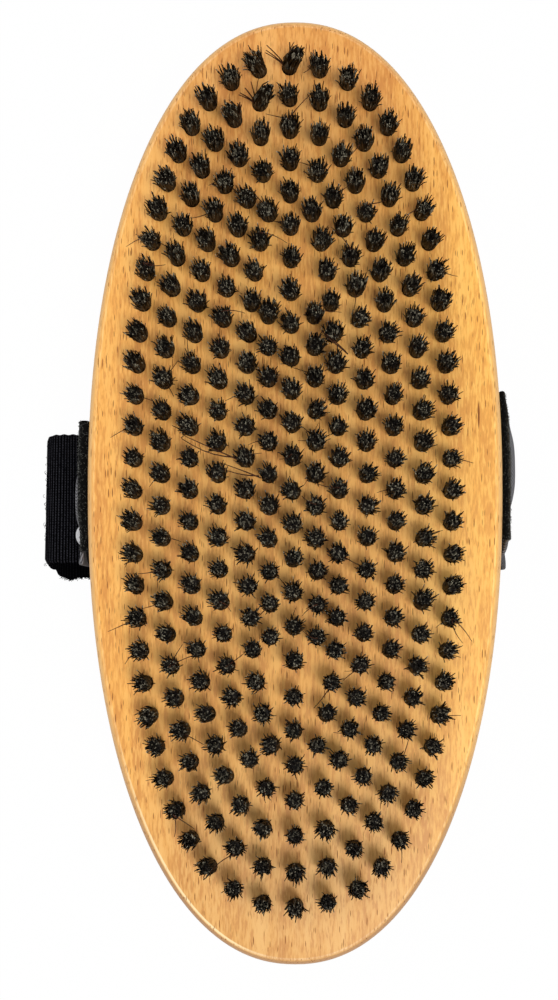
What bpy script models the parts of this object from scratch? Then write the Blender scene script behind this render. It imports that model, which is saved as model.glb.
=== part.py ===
"""Oval horsehair brush with a hand strap, lying on its strap with the bristles up.

Metres, +Z up, +Y along the brush. The origin is under the middle of the wooden
block, on the surface that the strap lies on. The block is a drilled face board
with a domed back board glued under it. Seven groups of tufts stand in the drilled
holes, each fused to the thin root slice that lies in the back board's recess. The
strap is two halves, each screwed to one long side: a tab with a ribbed elastic
band on the left, a webbing strap on the right, closed by hook and loop tape.
"""

import math
import random

import bmesh
import bpy
from mathutils import Matrix, Vector

# Wooden block
BLOCK_LENGTH = 0.1966
BLOCK_WIDTH = 0.0866
BLOCK_POWER = 2.17
FACE_BOARD_THICKNESS = 0.008
BACK_BOARD_THICKNESS = 0.0117
GLUE_GAP = 0.0003
RIM_RADIUS = 0.0013
RIM_STEPS = 2
DOME_HEIGHT = 0.0055
DOME_INSET = 0.036
DOME_POWER = 2.3
DOME_STEPS = 5
BLOCK_SIDES = 72

# Tuft field, measured at the roots of the tufts
FIELD_END_MARGIN = 0.011425
FIELD_SIDE_MARGIN = 0.0106
CENTRE_LINE_TUFTS = 26
TUFT_PITCH_LONG = (BLOCK_LENGTH / 2 - FIELD_END_MARGIN) / ((CENTRE_LINE_TUFTS - 1) / 2)
RING_COUNT = 5
RING_POWER = 2.45
OUTER_RING_HALF_WIDTH = BLOCK_WIDTH / 2 - FIELD_SIDE_MARGIN
INNER_RING_HALF_WIDTH = 0.0096
RING_STEP_WIDE = (OUTER_RING_HALF_WIDTH - INNER_RING_HALF_WIDTH) / (RING_COUNT - 1)
OUTER_RING_TUFTS = 62
FEWER_TUFTS_PER_RING = 6
COLUMN_OFFSET = 0.0048
COLUMN_TIGHTENING = 0.0003
COLUMN_PITCH = TUFT_PITCH_LONG - COLUMN_TIGHTENING
COLUMN_TUFTS = 11
BRIDGE_TUFTS = 3
FIELD_SHIFT_LONG = 0.0011
FIELD_SHIFT_WIDE = -0.0005
FIELD_BOW = 0.0023
FIELD_TAPER = 0.41
FIELD_LEAN = 0.0074

# Tufts and the slices that hold their roots
TUFT_HEIGHT = 0.0116
TUFT_HEIGHT_SPREAD = 0.0004
TUFT_ROOT_RADIUS = 0.0014
TUFT_TIP_RADIUS = 0.0021
TUFT_TIP_DRIFT = 0.00025
TUFT_TWIST = math.radians(3)
TUFT_SIDES = 4
HOLE_CLEARANCE = 0.0003
SLICE_THICKNESS = 0.0008
SLICE_HALF_WIDTH = 0.0016
SLICE_CLEARANCE = 0.0003
SLICE_SIDES = 36
STRAY_COUNT = 24
STRAY_RADIUS = 0.0003
STRAY_TIP_RADIUS = 0.00015
STRAY_LENGTH = 0.0062
STRAY_START = 0.006
STRAY_TILT = math.radians(36)
RANDOM_SEED = 11

# Strap
STRAP_WIDTH = 0.030
WEBBING_THICKNESS = 0.0008
ELASTIC_THICKNESS = 0.0013
TAPE_THICKNESS = 0.0009
TAPE_INSET = 0.0015
LAYER_GAP = 0.0003
FABRIC_GAP = 0.0002
HAND_GAP = 0.011
STRAP_TOP_DROP = 0.003
FLAP_LENGTH = 0.0145
BAND_COLUMNS = 8
OUTER_RUN_STEPS = 8
BEND_STEP = math.radians(30)

# Left half of the strap
TAB_SHIFT = 0.0004
FOLD_REACH = 0.0568
FOLD_RADIUS = 0.0039
SEAM_REACH = 0.034
TAB_BEND_RADIUS = 0.003
HINGE_REACH = 0.006
HINGE_GAP = 0.00015
TAIL_LENGTH = 0.024
TAIL_CORNER_RADIUS = 0.006
TAIL_CORNER_STEPS = 4

# Right half of the strap
RIGHT_SKEW = 0.0066
SKEW_START = 0.008
SKEW_RISE = 0.019
FLARE_DROP = 0.004
FLARE_REACH = 0.005
FLARE_RADIUS = 0.008
HEEL_RADIUS = 0.0045
STRAP_END_REACH = 0.003
LOOP_TAPE_OVERHANG = 0.0015
STEP_CLEARANCE = 0.0025
STEP_RUN = 0.0045
STEP_RADIUS = 0.003
STEP_END = HINGE_REACH + TAIL_LENGTH + LOOP_TAPE_OVERHANG + STEP_CLEARANCE
STEP_START = STEP_END + STEP_RUN

# Side screws and their washers
SCREW_DEPTH_UNDER_SEAM = 0.004
LEFT_SCREW_SHIFT = -0.0007
RIGHT_SCREW_SHIFT = 0.0063
SCREW_LENGTH = 0.014
SHANK_RADIUS = 0.0014
TIP_LENGTH = 0.003
HEAD_RADIUS = 0.0036
HEAD_HEIGHT = 0.0008
WASHER_RADIUS = 0.0046
WASHER_THICKNESS = 0.0004
SHANK_CLEARANCE = 0.0003
BULGE_SPREAD = 0.0085
TURNED_STEPS = 16

CUT_OVERRUN = 0.001
WELD_DISTANCE = 0.00001

# Heights over the surface that the strap lies on
TAIL_TOP = ELASTIC_THICKNESS
HOOK_TAPE_LOW = TAIL_TOP + LAYER_GAP
LOOP_TAPE_LOW = HOOK_TAPE_LOW + TAPE_THICKNESS + LAYER_GAP
OVERLAP_LOW = LOOP_TAPE_LOW + TAPE_THICKNESS + LAYER_GAP
OVERLAP_TOP = OVERLAP_LOW + WEBBING_THICKNESS
BACK_LOW = OVERLAP_TOP + HAND_GAP
SEAM_LOW = BACK_LOW + BACK_BOARD_THICKNESS
SEAM_HIGH = SEAM_LOW + GLUE_GAP
FACE_HEIGHT = SEAM_HIGH + FACE_BOARD_THICKNESS
SLICE_TOP = SEAM_HIGH - SLICE_CLEARANCE
SLICE_LOW = SLICE_TOP - SLICE_THICKNESS
RECESS_FLOOR = SLICE_LOW - SLICE_CLEARANCE
SCREW_HEIGHT = SEAM_LOW - SCREW_DEPTH_UNDER_SEAM

# Distances from the middle of the brush to the layers on its long sides
SIDE_REACH = BLOCK_WIDTH / 2
FLAP_REACH = SIDE_REACH + FABRIC_GAP + WEBBING_THICKNESS / 2
OUTER_REACH = FLAP_REACH + WEBBING_THICKNESS + FABRIC_GAP
WASHER_REACH = FLAP_REACH + WEBBING_THICKNESS / 2 + FABRIC_GAP
HEAD_REACH = WASHER_REACH + WASHER_THICKNESS + FABRIC_GAP
STRAP_TOP = FACE_HEIGHT - STRAP_TOP_DROP - WEBBING_THICKNESS / 2
BULGE_HEIGHT = HEAD_REACH + HEAD_HEIGHT + LAYER_GAP + WEBBING_THICKNESS / 2 - OUTER_REACH
BULGE_RADIUS = WASHER_RADIUS + FABRIC_GAP

# Tuft widths where they pass the face of the board
ROOT_SHARE = (FACE_HEIGHT - SLICE_LOW) / (FACE_HEIGHT + TUFT_HEIGHT - SLICE_LOW)
TUFT_RADIUS_AT_FACE = TUFT_ROOT_RADIUS + (TUFT_TIP_RADIUS - TUFT_ROOT_RADIUS) * ROOT_SHARE
HOLE_RADIUS = TUFT_RADIUS_AT_FACE + HOLE_CLEARANCE / math.cos(math.pi / TUFT_SIDES)


def clear_scene():
    """Remove every object, so that the model starts from nothing."""
    for obj in list(bpy.data.objects):
        bpy.data.objects.remove(obj)


def new_collection(name):
    """Make a collection in the scene."""
    collection = bpy.data.collections.new(name)
    bpy.context.scene.collection.children.link(collection)
    return collection


clear_scene()
PARTS = new_collection("horsehair_brush")
CUTTERS = new_collection("cutters")


def finish(name, colour, roughness, metallic=0.0):
    """Make a sub-part's own material."""
    material = bpy.data.materials.new(name)
    material.use_nodes = True
    shader = material.node_tree.nodes["Principled BSDF"]
    shader.inputs["Base Color"].default_value = (*colour, 1.0)
    shader.inputs["Roughness"].default_value = roughness
    shader.inputs["Metallic"].default_value = metallic
    return material


def add_part(name, mesh, material):
    """Put a mesh into the parts collection as a named sub-part."""
    part = bpy.data.objects.new(name, mesh)
    PARTS.objects.link(part)
    part.data.materials.append(material)
    return part


def add_cutter(name, mesh):
    """Put a mesh into the cutters collection, shown as wire and left out of renders."""
    cutter = bpy.data.objects.new(name, mesh)
    CUTTERS.objects.link(cutter)
    cutter.hide_render = True
    cutter.display_type = "WIRE"
    return cutter


def mesh_from(name, bm):
    """Turn a bmesh into a mesh with its faces pointing out."""
    bmesh.ops.recalc_face_normals(bm, faces=bm.faces)
    mesh = bpy.data.meshes.new(name)
    bm.to_mesh(mesh)
    bm.free()
    return mesh


def combine(part, other, operation):
    """Cut or join another solid into a part."""
    modifier = part.modifiers.new(f"{operation.lower()} {other.name}", "BOOLEAN")
    modifier.operation = operation
    modifier.solver = "EXACT"
    modifier.object = other


def oval_point(half_width, half_length, power, angle):
    """Point of a superellipse at an angle measured from +Y towards +X."""
    across = math.sin(angle)
    along = math.cos(angle)
    return Vector((
        half_width * math.copysign(abs(across) ** (2 / power), across),
        half_length * math.copysign(abs(along) ** (2 / power), along),
    ))


def even_points(half_width, half_length, power, count):
    """Points spaced evenly along a superellipse, each with its outward direction, from the +Y end."""
    fine = 40 * count
    outline = [oval_point(half_width, half_length, power, math.tau * i / fine) for i in range(fine + 1)]
    lengths = [0.0]
    for start, end in zip(outline, outline[1:]):
        lengths.append(lengths[-1] + (end - start).length)
    points = []
    segment = 0
    for i in range(count):
        wanted = lengths[-1] * i / count
        while lengths[segment + 1] < wanted:
            segment += 1
        start, end = outline[segment], outline[segment + 1]
        share = (wanted - lengths[segment]) / (lengths[segment + 1] - lengths[segment])
        tangent = (outline[(segment + 1) % fine] - outline[segment - 1 if segment else fine - 1]).normalized()
        points.append((start.lerp(end, share), Vector((-tangent.y, tangent.x))))
    return points


def plate_mesh(name, outlines, thickness, low):
    """Flat plate of one or more outlines: a filled 2D curve, made a mesh and welded."""
    curve = bpy.data.curves.new(name, "CURVE")
    curve.dimensions = "2D"
    curve.fill_mode = "BOTH"
    curve.extrude = thickness / 2
    for outline in outlines:
        spline = curve.splines.new("POLY")
        spline.points.add(len(outline) - 1)
        for point, place in zip(spline.points, outline):
            point.co = (place[0], place[1], 0.0, 1.0)
        spline.use_cyclic_u = True
    holder = bpy.data.objects.new(name, curve)
    bpy.context.scene.collection.objects.link(holder)
    evaluated = holder.evaluated_get(bpy.context.evaluated_depsgraph_get())
    mesh = bpy.data.meshes.new_from_object(evaluated)
    bpy.data.objects.remove(holder)
    bm = bmesh.new()
    bm.from_mesh(mesh)
    bmesh.ops.remove_doubles(bm, verts=bm.verts, dist=WELD_DISTANCE)
    bmesh.ops.translate(bm, verts=bm.verts, vec=(0.0, 0.0, low + thickness / 2))
    return mesh_from(name, bm)


def board_mesh(name, levels):
    """Oval board lofted through levels, each an inset from the block's outline and a height."""
    bm = bmesh.new()
    rings = []
    for inset, height in levels:
        ring = []
        for i in range(BLOCK_SIDES):
            place = oval_point(
                BLOCK_WIDTH / 2 - inset, BLOCK_LENGTH / 2 - inset, BLOCK_POWER, math.tau * i / BLOCK_SIDES
            )
            ring.append(bm.verts.new((place.x, place.y, height)))
        rings.append(ring)
    for lower, upper in zip(rings, rings[1:]):
        for i in range(BLOCK_SIDES):
            following = (i + 1) % BLOCK_SIDES
            bm.faces.new((lower[i], lower[following], upper[following], upper[i]))
    bm.faces.new(rings[0])
    bm.faces.new(rings[-1])
    return mesh_from(name, bm)


def ring_half_length(ring):
    """Half-length of a ring of tufts: its ends stand at the centre line's even pitch."""
    return TUFT_PITCH_LONG * ((CENTRE_LINE_TUFTS - 1) / 2 - ring)


def ring_half_width(ring):
    """Half-width of a ring of tufts."""
    return OUTER_RING_HALF_WIDTH - RING_STEP_WIDE * ring


def ring_tufts(ring):
    """Places and outward directions of one closed ring of tufts."""
    count = OUTER_RING_TUFTS - FEWER_TUFTS_PER_RING * ring
    return even_points(ring_half_width(ring), ring_half_length(ring), RING_POWER, count)


def column_tufts():
    """The two straight columns, and the tufts on the centre line that bridge their ends."""
    across = Vector((1.0, 0.0))
    tufts = []
    for side in (-1, 1):
        for row in range(COLUMN_TUFTS):
            along = (row - (COLUMN_TUFTS - 1) / 2) * COLUMN_PITCH
            tufts.append((Vector((side * COLUMN_OFFSET, along)), across))
    for end in (-1, 1):
        for step in range(BRIDGE_TUFTS):
            tufts.append((Vector((0.0, end * ring_half_length(RING_COUNT + step))), across))
    return tufts


def centre_tufts():
    """The short row on the centre line, inside the columns."""
    across = Vector((1.0, 0.0))
    rows = CENTRE_LINE_TUFTS - 2 * (RING_COUNT + BRIDGE_TUFTS)
    return [(Vector((0.0, (row - (rows - 1) / 2) * TUFT_PITCH_LONG)), across) for row in range(rows)]


def on_field(place, height):
    """A place of the even tuft pattern as a point of the model.

    The real field is a little uneven: its middle rows stand further along +Y, it is
    narrower towards +Y, and it leans.
    """
    across = place.x * (1 - FIELD_TAPER * place.y) - FIELD_LEAN * place.y + FIELD_SHIFT_WIDE
    bow = FIELD_BOW * (1 - (place.y / ring_half_length(0)) ** 2)
    return Vector((across, place.y + bow + FIELD_SHIFT_LONG, height))


def facing(outward):
    """Turn about Z that sets a flat of a tuft, or of its hole, square to a direction."""
    return math.atan2(outward.y, outward.x) + math.pi / TUFT_SIDES


def holes_mesh(tufts):
    """One prism for each tuft hole, through the face board."""
    bm = bmesh.new()
    depth = FACE_BOARD_THICKNESS + 2 * CUT_OVERRUN
    for place, outward in tufts:
        middle = on_field(place, SEAM_HIGH + FACE_BOARD_THICKNESS / 2)
        bmesh.ops.create_cone(
            bm, cap_ends=True, segments=TUFT_SIDES, radius1=HOLE_RADIUS, radius2=HOLE_RADIUS, depth=depth,
            matrix=Matrix.Translation(middle) @ Matrix.Rotation(facing(outward), 4, "Z"),
        )
    return mesh_from("tuft_holes", bm)


def strands_mesh(name, tufts, rng):
    """One four-sided strand for each tuft, from its root slice to its tip, flaring and leaning a little."""
    bm = bmesh.new()
    for place, outward in tufts:
        root = on_field(place, SLICE_LOW + SLICE_THICKNESS / 2)
        heading = rng.uniform(0.0, math.tau)
        drift = rng.uniform(0.0, TUFT_TIP_DRIFT)
        top = FACE_HEIGHT + TUFT_HEIGHT + rng.uniform(-TUFT_HEIGHT_SPREAD, TUFT_HEIGHT_SPREAD)
        tip = on_field(place, top) + Vector((drift * math.cos(heading), drift * math.sin(heading), 0.0))
        axis = tip - root
        lean = Vector((0.0, 0.0, 1.0)).rotation_difference(axis).to_matrix().to_4x4()
        turn = facing(outward) + rng.uniform(-TUFT_TWIST, TUFT_TWIST)
        bmesh.ops.create_cone(
            bm, cap_ends=True, segments=TUFT_SIDES, radius1=TUFT_ROOT_RADIUS, radius2=TUFT_TIP_RADIUS,
            depth=axis.length,
            matrix=Matrix.Translation((root + tip) / 2) @ lean @ Matrix.Rotation(turn, 4, "Z"),
        )
    return mesh_from(name, bm)


def strays_mesh(name, tufts):
    """Single stray hairs that lean outwards from every few tufts of the outer ring."""
    bm = bmesh.new()
    for i in range(STRAY_COUNT):
        place, outward = tufts[i * len(tufts) // STRAY_COUNT]
        start = on_field(place, FACE_HEIGHT + STRAY_START)
        side = Vector((outward.x, outward.y, 0.0))
        axis = side * math.sin(STRAY_TILT) + Vector((0.0, 0.0, math.cos(STRAY_TILT)))
        lean = Vector((0.0, 0.0, 1.0)).rotation_difference(axis).to_matrix().to_4x4()
        bmesh.ops.create_cone(
            bm, cap_ends=True, segments=TUFT_SIDES, radius1=STRAY_RADIUS, radius2=STRAY_TIP_RADIUS,
            depth=STRAY_LENGTH, matrix=Matrix.Translation(start + axis * STRAY_LENGTH / 2) @ lean,
        )
    return mesh_from(name, bm)


def ring_slice_outlines(ring):
    """Outer and inner outline of a ring's root slice."""
    points = even_points(ring_half_width(ring), ring_half_length(ring), RING_POWER, SLICE_SIDES)
    return [
        [place + outward * SLICE_HALF_WIDTH for place, outward in points],
        [place - outward * SLICE_HALF_WIDTH for place, outward in points],
    ]


def column_slice_outlines():
    """Outlines of the slice under the two columns: a frame with a sloped shoulder and a tongue at each end."""
    bridge = ring_half_length(RING_COUNT + BRIDGE_TUFTS - 1)
    tongue_end = ring_half_length(RING_COUNT) + SLICE_HALF_WIDTH
    outer = COLUMN_OFFSET + SLICE_HALF_WIDTH
    inner = COLUMN_OFFSET - SLICE_HALF_WIDTH
    shoulder = COLUMN_PITCH * (COLUMN_TUFTS - 1) / 2 + SLICE_HALF_WIDTH
    neck = bridge + SLICE_HALF_WIDTH
    low = bridge - SLICE_HALF_WIDTH
    tongue = SLICE_HALF_WIDTH
    upper = [
        (outer, shoulder), (tongue, neck), (tongue, tongue_end), (-tongue, tongue_end), (-tongue, neck),
        (-outer, shoulder),
    ]
    outline = [Vector(corner) for corner in upper]
    outline += [-corner for corner in outline]
    return [outline, [Vector(corner) for corner in ((inner, -low), (inner, low), (-inner, low), (-inner, -low))]]


def centre_slice_outlines():
    """Outline of the slice under the centre row."""
    end = centre_tufts()[-1][0].y + SLICE_HALF_WIDTH
    corner = Vector((SLICE_HALF_WIDTH, end))
    mirrored = Vector((SLICE_HALF_WIDTH, -end))
    return [[mirrored, corner, -mirrored, -corner]]


def add_tuft_group(name, outlines, tufts, rng, colour):
    """A group of tufts fused to its root slice."""
    placed = [[on_field(place, 0.0) for place in outline] for outline in outlines]
    root_slice = plate_mesh(name, placed, SLICE_THICKNESS, SLICE_LOW)
    group = add_part(name, root_slice, finish(name, colour, 0.42))
    combine(group, add_cutter(f"{name}_strands", strands_mesh(f"{name}_strands", tufts, rng)), "UNION")
    return group


def rounded_path(corners):
    """Path through corners given as (x, z, bend radius, pieces of the run that leads there)."""
    places = [Vector((x, z)) for x, z, _, _ in corners]
    path = [places[0]]
    for i in range(1, len(corners)):
        _, _, radius, pieces = corners[i]
        corner = places[i]
        arriving = (corner - places[i - 1]).normalized()
        run_end = corner
        turn = 0.0
        if i < len(corners) - 1:
            leaving = (places[i + 1] - corner).normalized()
            turn = arriving.angle_signed(leaving)
            run_end = corner - arriving * radius * math.tan(abs(turn) / 2)
        run_start = path[-1].copy()
        if (run_end - run_start).length > WELD_DISTANCE:
            path += [run_start.lerp(run_end, (k + 1) / pieces) for k in range(pieces)]
        if turn:
            side = math.copysign(1.0, turn)
            centre = run_end + Vector((arriving.y, -arriving.x)) * radius * side
            spoke = run_end - centre
            steps = max(2, round(abs(turn) / BEND_STEP))
            for k in range(1, steps + 1):
                angle = -turn * k / steps
                path.append(centre + Vector((
                    spoke.x * math.cos(angle) - spoke.y * math.sin(angle),
                    spoke.x * math.sin(angle) + spoke.y * math.cos(angle),
                )))
    return path


def smooth_step(value):
    """Ease from 0 to 1, flat at both ends."""
    value = min(1.0, max(0.0, value))
    return value * value * (3.0 - 2.0 * value)


def bulge(across, height, screw_shift):
    """How far a strap's outer layer stands off where it passes over the screw and washer."""
    distance = math.hypot(across - screw_shift, height - SCREW_HEIGHT)
    return BULGE_HEIGHT * smooth_step((BULGE_RADIUS + BULGE_SPREAD - distance) / BULGE_SPREAD)


def tab_drift(height):
    """Place along Y of the left tab's middle."""
    return TAB_SHIFT


def right_drift(height):
    """Place along Y of the right strap's middle, which drifts as the strap climbs from the table."""
    return RIGHT_SKEW * smooth_step((height - SKEW_START) / SKEW_RISE)


def band(name, corners, thickness, columns, material, drift=None, screw_shift=None):
    """Flat band that follows a path in the XZ plane, with the strap's width along Y.

    drift gives the place of its middle along Y at a height. With screw_shift, the
    layer furthest out on the brush's side bulges over the screw.
    """
    path = rounded_path(corners)
    bm = bmesh.new()
    bmesh.ops.create_grid(bm, x_segments=len(path) - 1, y_segments=columns, size=0.5)
    outer = max(abs(x) for x, _, _, _ in corners[:3])
    for vert in bm.verts:
        row = round((vert.co.x + 0.5) * (len(path) - 1))
        place = path[row]
        across = vert.co.y * STRAP_WIDTH
        if drift is not None:
            across += drift(place.y)
        out = 0.0
        if screw_shift is not None and abs(place.x) > outer - WELD_DISTANCE:
            out = math.copysign(bulge(across, place.y, screw_shift), place.x)
        vert.co = (place.x + out, across, place.y)
    bmesh.ops.recalc_face_normals(bm, faces=bm.faces)
    mesh = bpy.data.meshes.new(name)
    bm.to_mesh(mesh)
    bm.free()
    strip = add_part(name, mesh, material)
    shell = strip.modifiers.new("fabric thickness", "SOLIDIFY")
    shell.thickness = thickness
    shell.offset = 0.0
    shell.use_even_offset = True
    return strip


def side_tab_corners(side):
    """Path of a strap's folded end: up the side of the block, over the fold, down outside it."""
    return [
        (side * FLAP_REACH, STRAP_TOP - FLAP_LENGTH, 0.0, 1),
        (side * FLAP_REACH, STRAP_TOP, (OUTER_REACH - FLAP_REACH) / 2, 3),
        (side * OUTER_REACH, STRAP_TOP, (OUTER_REACH - FLAP_REACH) / 2, 1),
    ]


def turned_mesh(name, profile, closed):
    """Mesh with the edges of a profile in the XZ plane, for a Screw modifier to turn about Z."""
    bm = bmesh.new()
    verts = [bm.verts.new((radius, 0.0, height)) for radius, height in profile]
    for start, end in zip(verts, verts[1:]):
        bm.edges.new((start, end))
    if closed:
        bm.edges.new((verts[-1], verts[0]))
    mesh = bpy.data.meshes.new(name)
    bm.to_mesh(mesh)
    bm.free()
    return mesh


def add_turned(name, profile, closed, side, reach, shift, material):
    """Turned piece with its axis square to the block's side."""
    piece = add_part(name, turned_mesh(name, profile, closed), material)
    piece.location = (side * reach, shift, SCREW_HEIGHT)
    piece.rotation_euler = (0.0, side * math.pi / 2, 0.0)
    turning = piece.modifiers.new("turning", "SCREW")
    turning.steps = TURNED_STEPS
    turning.render_steps = TURNED_STEPS
    turning.use_merge_vertices = True
    turning.merge_threshold = WELD_DISTANCE
    return piece


def add_screw(name, side, shift, material):
    """Pan head wood screw, its point in the back board."""
    profile = [
        (0.0, HEAD_HEIGHT),
        (HEAD_RADIUS * 0.6, HEAD_HEIGHT * 0.94),
        (HEAD_RADIUS * 0.93, HEAD_HEIGHT * 0.6),
        (HEAD_RADIUS, 0.0),
        (SHANK_RADIUS, 0.0),
        (SHANK_RADIUS, TIP_LENGTH - SCREW_LENGTH),
        (0.0, -SCREW_LENGTH),
    ]
    return add_turned(name, profile, False, side, HEAD_REACH, shift, material)


def add_washer(name, side, shift, material):
    """Flat washer between the screw's head and the strap's flap."""
    inner = SHANK_RADIUS + SHANK_CLEARANCE
    profile = [
        (inner, WASHER_THICKNESS), (WASHER_RADIUS, WASHER_THICKNESS), (WASHER_RADIUS, 0.0), (inner, 0.0),
    ]
    return add_turned(name, profile, True, side, WASHER_REACH, shift, material)


def screw_bore(name, side, shift, start, end):
    """Cutter for a screw's hole, between two distances from the middle of the brush."""
    bm = bmesh.new()
    radius = SHANK_RADIUS + SHANK_CLEARANCE
    middle = Vector((side * (start + end) / 2, shift, SCREW_HEIGHT))
    bmesh.ops.create_cone(
        bm, cap_ends=True, segments=TURNED_STEPS, radius1=radius, radius2=radius, depth=end - start,
        matrix=Matrix.Translation(middle) @ Matrix.Rotation(math.pi / 2, 4, "Y"),
    )
    return add_cutter(name, mesh_from(name, bm))


def rounded_tail_outline(start, end, half_width, corner_radius):
    """Rectangle whose two far corners are rounded, as a strap's cut end."""
    outline = [(start, -half_width)]
    for low, first_turn in ((-1, -math.pi / 2), (1, 0.0)):
        for step in range(TAIL_CORNER_STEPS + 1):
            angle = first_turn + math.pi / 2 * step / TAIL_CORNER_STEPS
            outline.append((
                end - corner_radius + corner_radius * math.cos(angle),
                low * (half_width - corner_radius) + corner_radius * math.sin(angle),
            ))
    outline.append((start, half_width))
    return outline


def add_face_board(all_tufts):
    """Flat board that the tufts stand in, with a rounded rim and a hole for each tuft."""
    levels = [(0.0, SEAM_HIGH)]
    for step in range(RIM_STEPS + 1):
        angle = math.pi / 2 * step / RIM_STEPS
        levels.append((
            RIM_RADIUS * (1 - math.cos(angle)), FACE_HEIGHT - RIM_RADIUS + RIM_RADIUS * math.sin(angle),
        ))
    board = add_part("face_board", board_mesh("face_board", levels), finish("face_board", (0.70, 0.42, 0.18), 0.5))
    combine(board, add_cutter("tuft_holes", holes_mesh(all_tufts)), "DIFFERENCE")
    return board


def add_back_board():
    """Domed board under the face board, with a recess for the root slices and two screw holes."""
    levels = []
    for step in range(DOME_STEPS, -1, -1):
        angle = math.pi / 2 * step / DOME_STEPS
        inset = DOME_INSET * (1 - math.cos(angle) ** (2 / DOME_POWER))
        drop = DOME_HEIGHT * math.sin(angle) ** (2 / DOME_POWER)
        levels.append((inset, BACK_LOW + DOME_HEIGHT - drop))
    levels.append((0.0, SEAM_LOW))
    board = add_part("back_board", board_mesh("back_board", levels), finish("back_board", (0.66, 0.39, 0.17), 0.5))
    margin = SLICE_HALF_WIDTH + SLICE_CLEARANCE
    recess = [
        on_field(place + outward * margin, 0.0)
        for place, outward in even_points(ring_half_width(0), ring_half_length(0), RING_POWER, SLICE_SIDES)
    ]
    recess_mesh = plate_mesh("recess", [recess], SEAM_HIGH - RECESS_FLOOR + CUT_OVERRUN, RECESS_FLOOR)
    combine(board, add_cutter("recess", recess_mesh), "DIFFERENCE")
    hole_end = HEAD_REACH - SCREW_LENGTH - SHANK_CLEARANCE
    for name, side, shift in (("left_pilot", -1, LEFT_SCREW_SHIFT), ("right_pilot", 1, RIGHT_SCREW_SHIFT)):
        combine(board, screw_bore(name, side, shift, hole_end, SIDE_REACH + CUT_OVERRUN), "DIFFERENCE")
    return board


def add_left_strap():
    """Tab on the left side, the ribbed elastic band sewn under it, and the band's free end."""
    fabric = finish("left_tab", (0.020, 0.020, 0.022), 0.9)
    fold_high = ELASTIC_THICKNESS / 2 + 2 * FOLD_RADIUS
    tab_end = fold_high + ELASTIC_THICKNESS / 2 + LAYER_GAP + WEBBING_THICKNESS / 2
    corners = side_tab_corners(-1) + [
        (-OUTER_REACH, tab_end, TAB_BEND_RADIUS, OUTER_RUN_STEPS),
        (-SEAM_REACH, tab_end, 0.0, 1),
    ]
    tab = band("left_tab", corners, WEBBING_THICKNESS, BAND_COLUMNS, fabric, tab_drift, LEFT_SCREW_SHIFT)
    bore_end = FLAP_REACH + WEBBING_THICKNESS / 2 + FABRIC_GAP
    combine(tab, screw_bore("left_flap_hole", -1, LEFT_SCREW_SHIFT, SIDE_REACH - CUT_OVERRUN, bore_end), "DIFFERENCE")

    fold = FOLD_REACH - ELASTIC_THICKNESS / 2
    corners = [
        (-SEAM_REACH, fold_high, 0.0, 1),
        (-fold, fold_high, FOLD_RADIUS, 1),
        (-fold, ELASTIC_THICKNESS / 2, FOLD_RADIUS, 1),
        (HINGE_REACH - HINGE_GAP, ELASTIC_THICKNESS / 2, 0.0, 1),
    ]
    band("elastic_band", corners, ELASTIC_THICKNESS, 2, finish("elastic_band", (0.012, 0.012, 0.016), 0.8))

    hinge = bpy.data.objects.new("tail_hinge", None)
    PARTS.objects.link(hinge)
    hinge.location = (HINGE_REACH, 0.0, 0.0)
    tail_outline = rounded_tail_outline(HINGE_GAP, TAIL_LENGTH, STRAP_WIDTH / 2, TAIL_CORNER_RADIUS)
    tail_mesh = plate_mesh("strap_tail", [tail_outline], ELASTIC_THICKNESS, 0.0)
    tail = add_part("strap_tail", tail_mesh, finish("strap_tail", (0.012, 0.012, 0.016), 0.8))
    tail.parent = hinge
    hook_outline = rounded_tail_outline(
        HINGE_GAP + TAPE_INSET, TAIL_LENGTH - TAPE_INSET, STRAP_WIDTH / 2 - TAPE_INSET,
        TAIL_CORNER_RADIUS - TAPE_INSET,
    )
    hook_mesh = plate_mesh("hook_tape", [hook_outline], TAPE_THICKNESS, HOOK_TAPE_LOW)
    hook = add_part("hook_tape", hook_mesh, finish("hook_tape", (0.03, 0.03, 0.032), 0.55))
    hook.parent = hinge


def add_right_strap():
    """Webbing strap on the right side, which lies over the elastic's free end, and its loop tape."""
    middle = WEBBING_THICKNESS / 2
    overlap = OVERLAP_LOW + WEBBING_THICKNESS / 2
    corners = side_tab_corners(1) + [
        (OUTER_REACH, STRAP_TOP - FLAP_LENGTH - FLARE_DROP, FLARE_RADIUS, OUTER_RUN_STEPS),
        (SIDE_REACH + FLARE_REACH, middle, HEEL_RADIUS, 2),
        (STEP_START, middle, STEP_RADIUS, 1),
        (STEP_END, overlap, STEP_RADIUS, 1),
        (STRAP_END_REACH, overlap, 0.0, 1),
    ]
    strap = band(
        "right_strap", corners, WEBBING_THICKNESS, BAND_COLUMNS,
        finish("right_strap", (0.020, 0.020, 0.022), 0.9), right_drift, RIGHT_SCREW_SHIFT,
    )
    bore_end = FLAP_REACH + WEBBING_THICKNESS / 2 + FABRIC_GAP
    combine(
        strap, screw_bore("right_flap_hole", 1, RIGHT_SCREW_SHIFT, SIDE_REACH - CUT_OVERRUN, bore_end), "DIFFERENCE"
    )
    shift = right_drift(overlap)
    half = STRAP_WIDTH / 2 - TAPE_INSET
    start = STRAP_END_REACH + TAPE_INSET
    end = HINGE_REACH + TAIL_LENGTH + LOOP_TAPE_OVERHANG
    outline = [(start, shift - half), (end, shift - half), (end, shift + half), (start, shift + half)]
    tape = plate_mesh("loop_tape", [outline], TAPE_THICKNESS, LOOP_TAPE_LOW)
    add_part("loop_tape", tape, finish("loop_tape", (0.018, 0.018, 0.02), 0.95))


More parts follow.
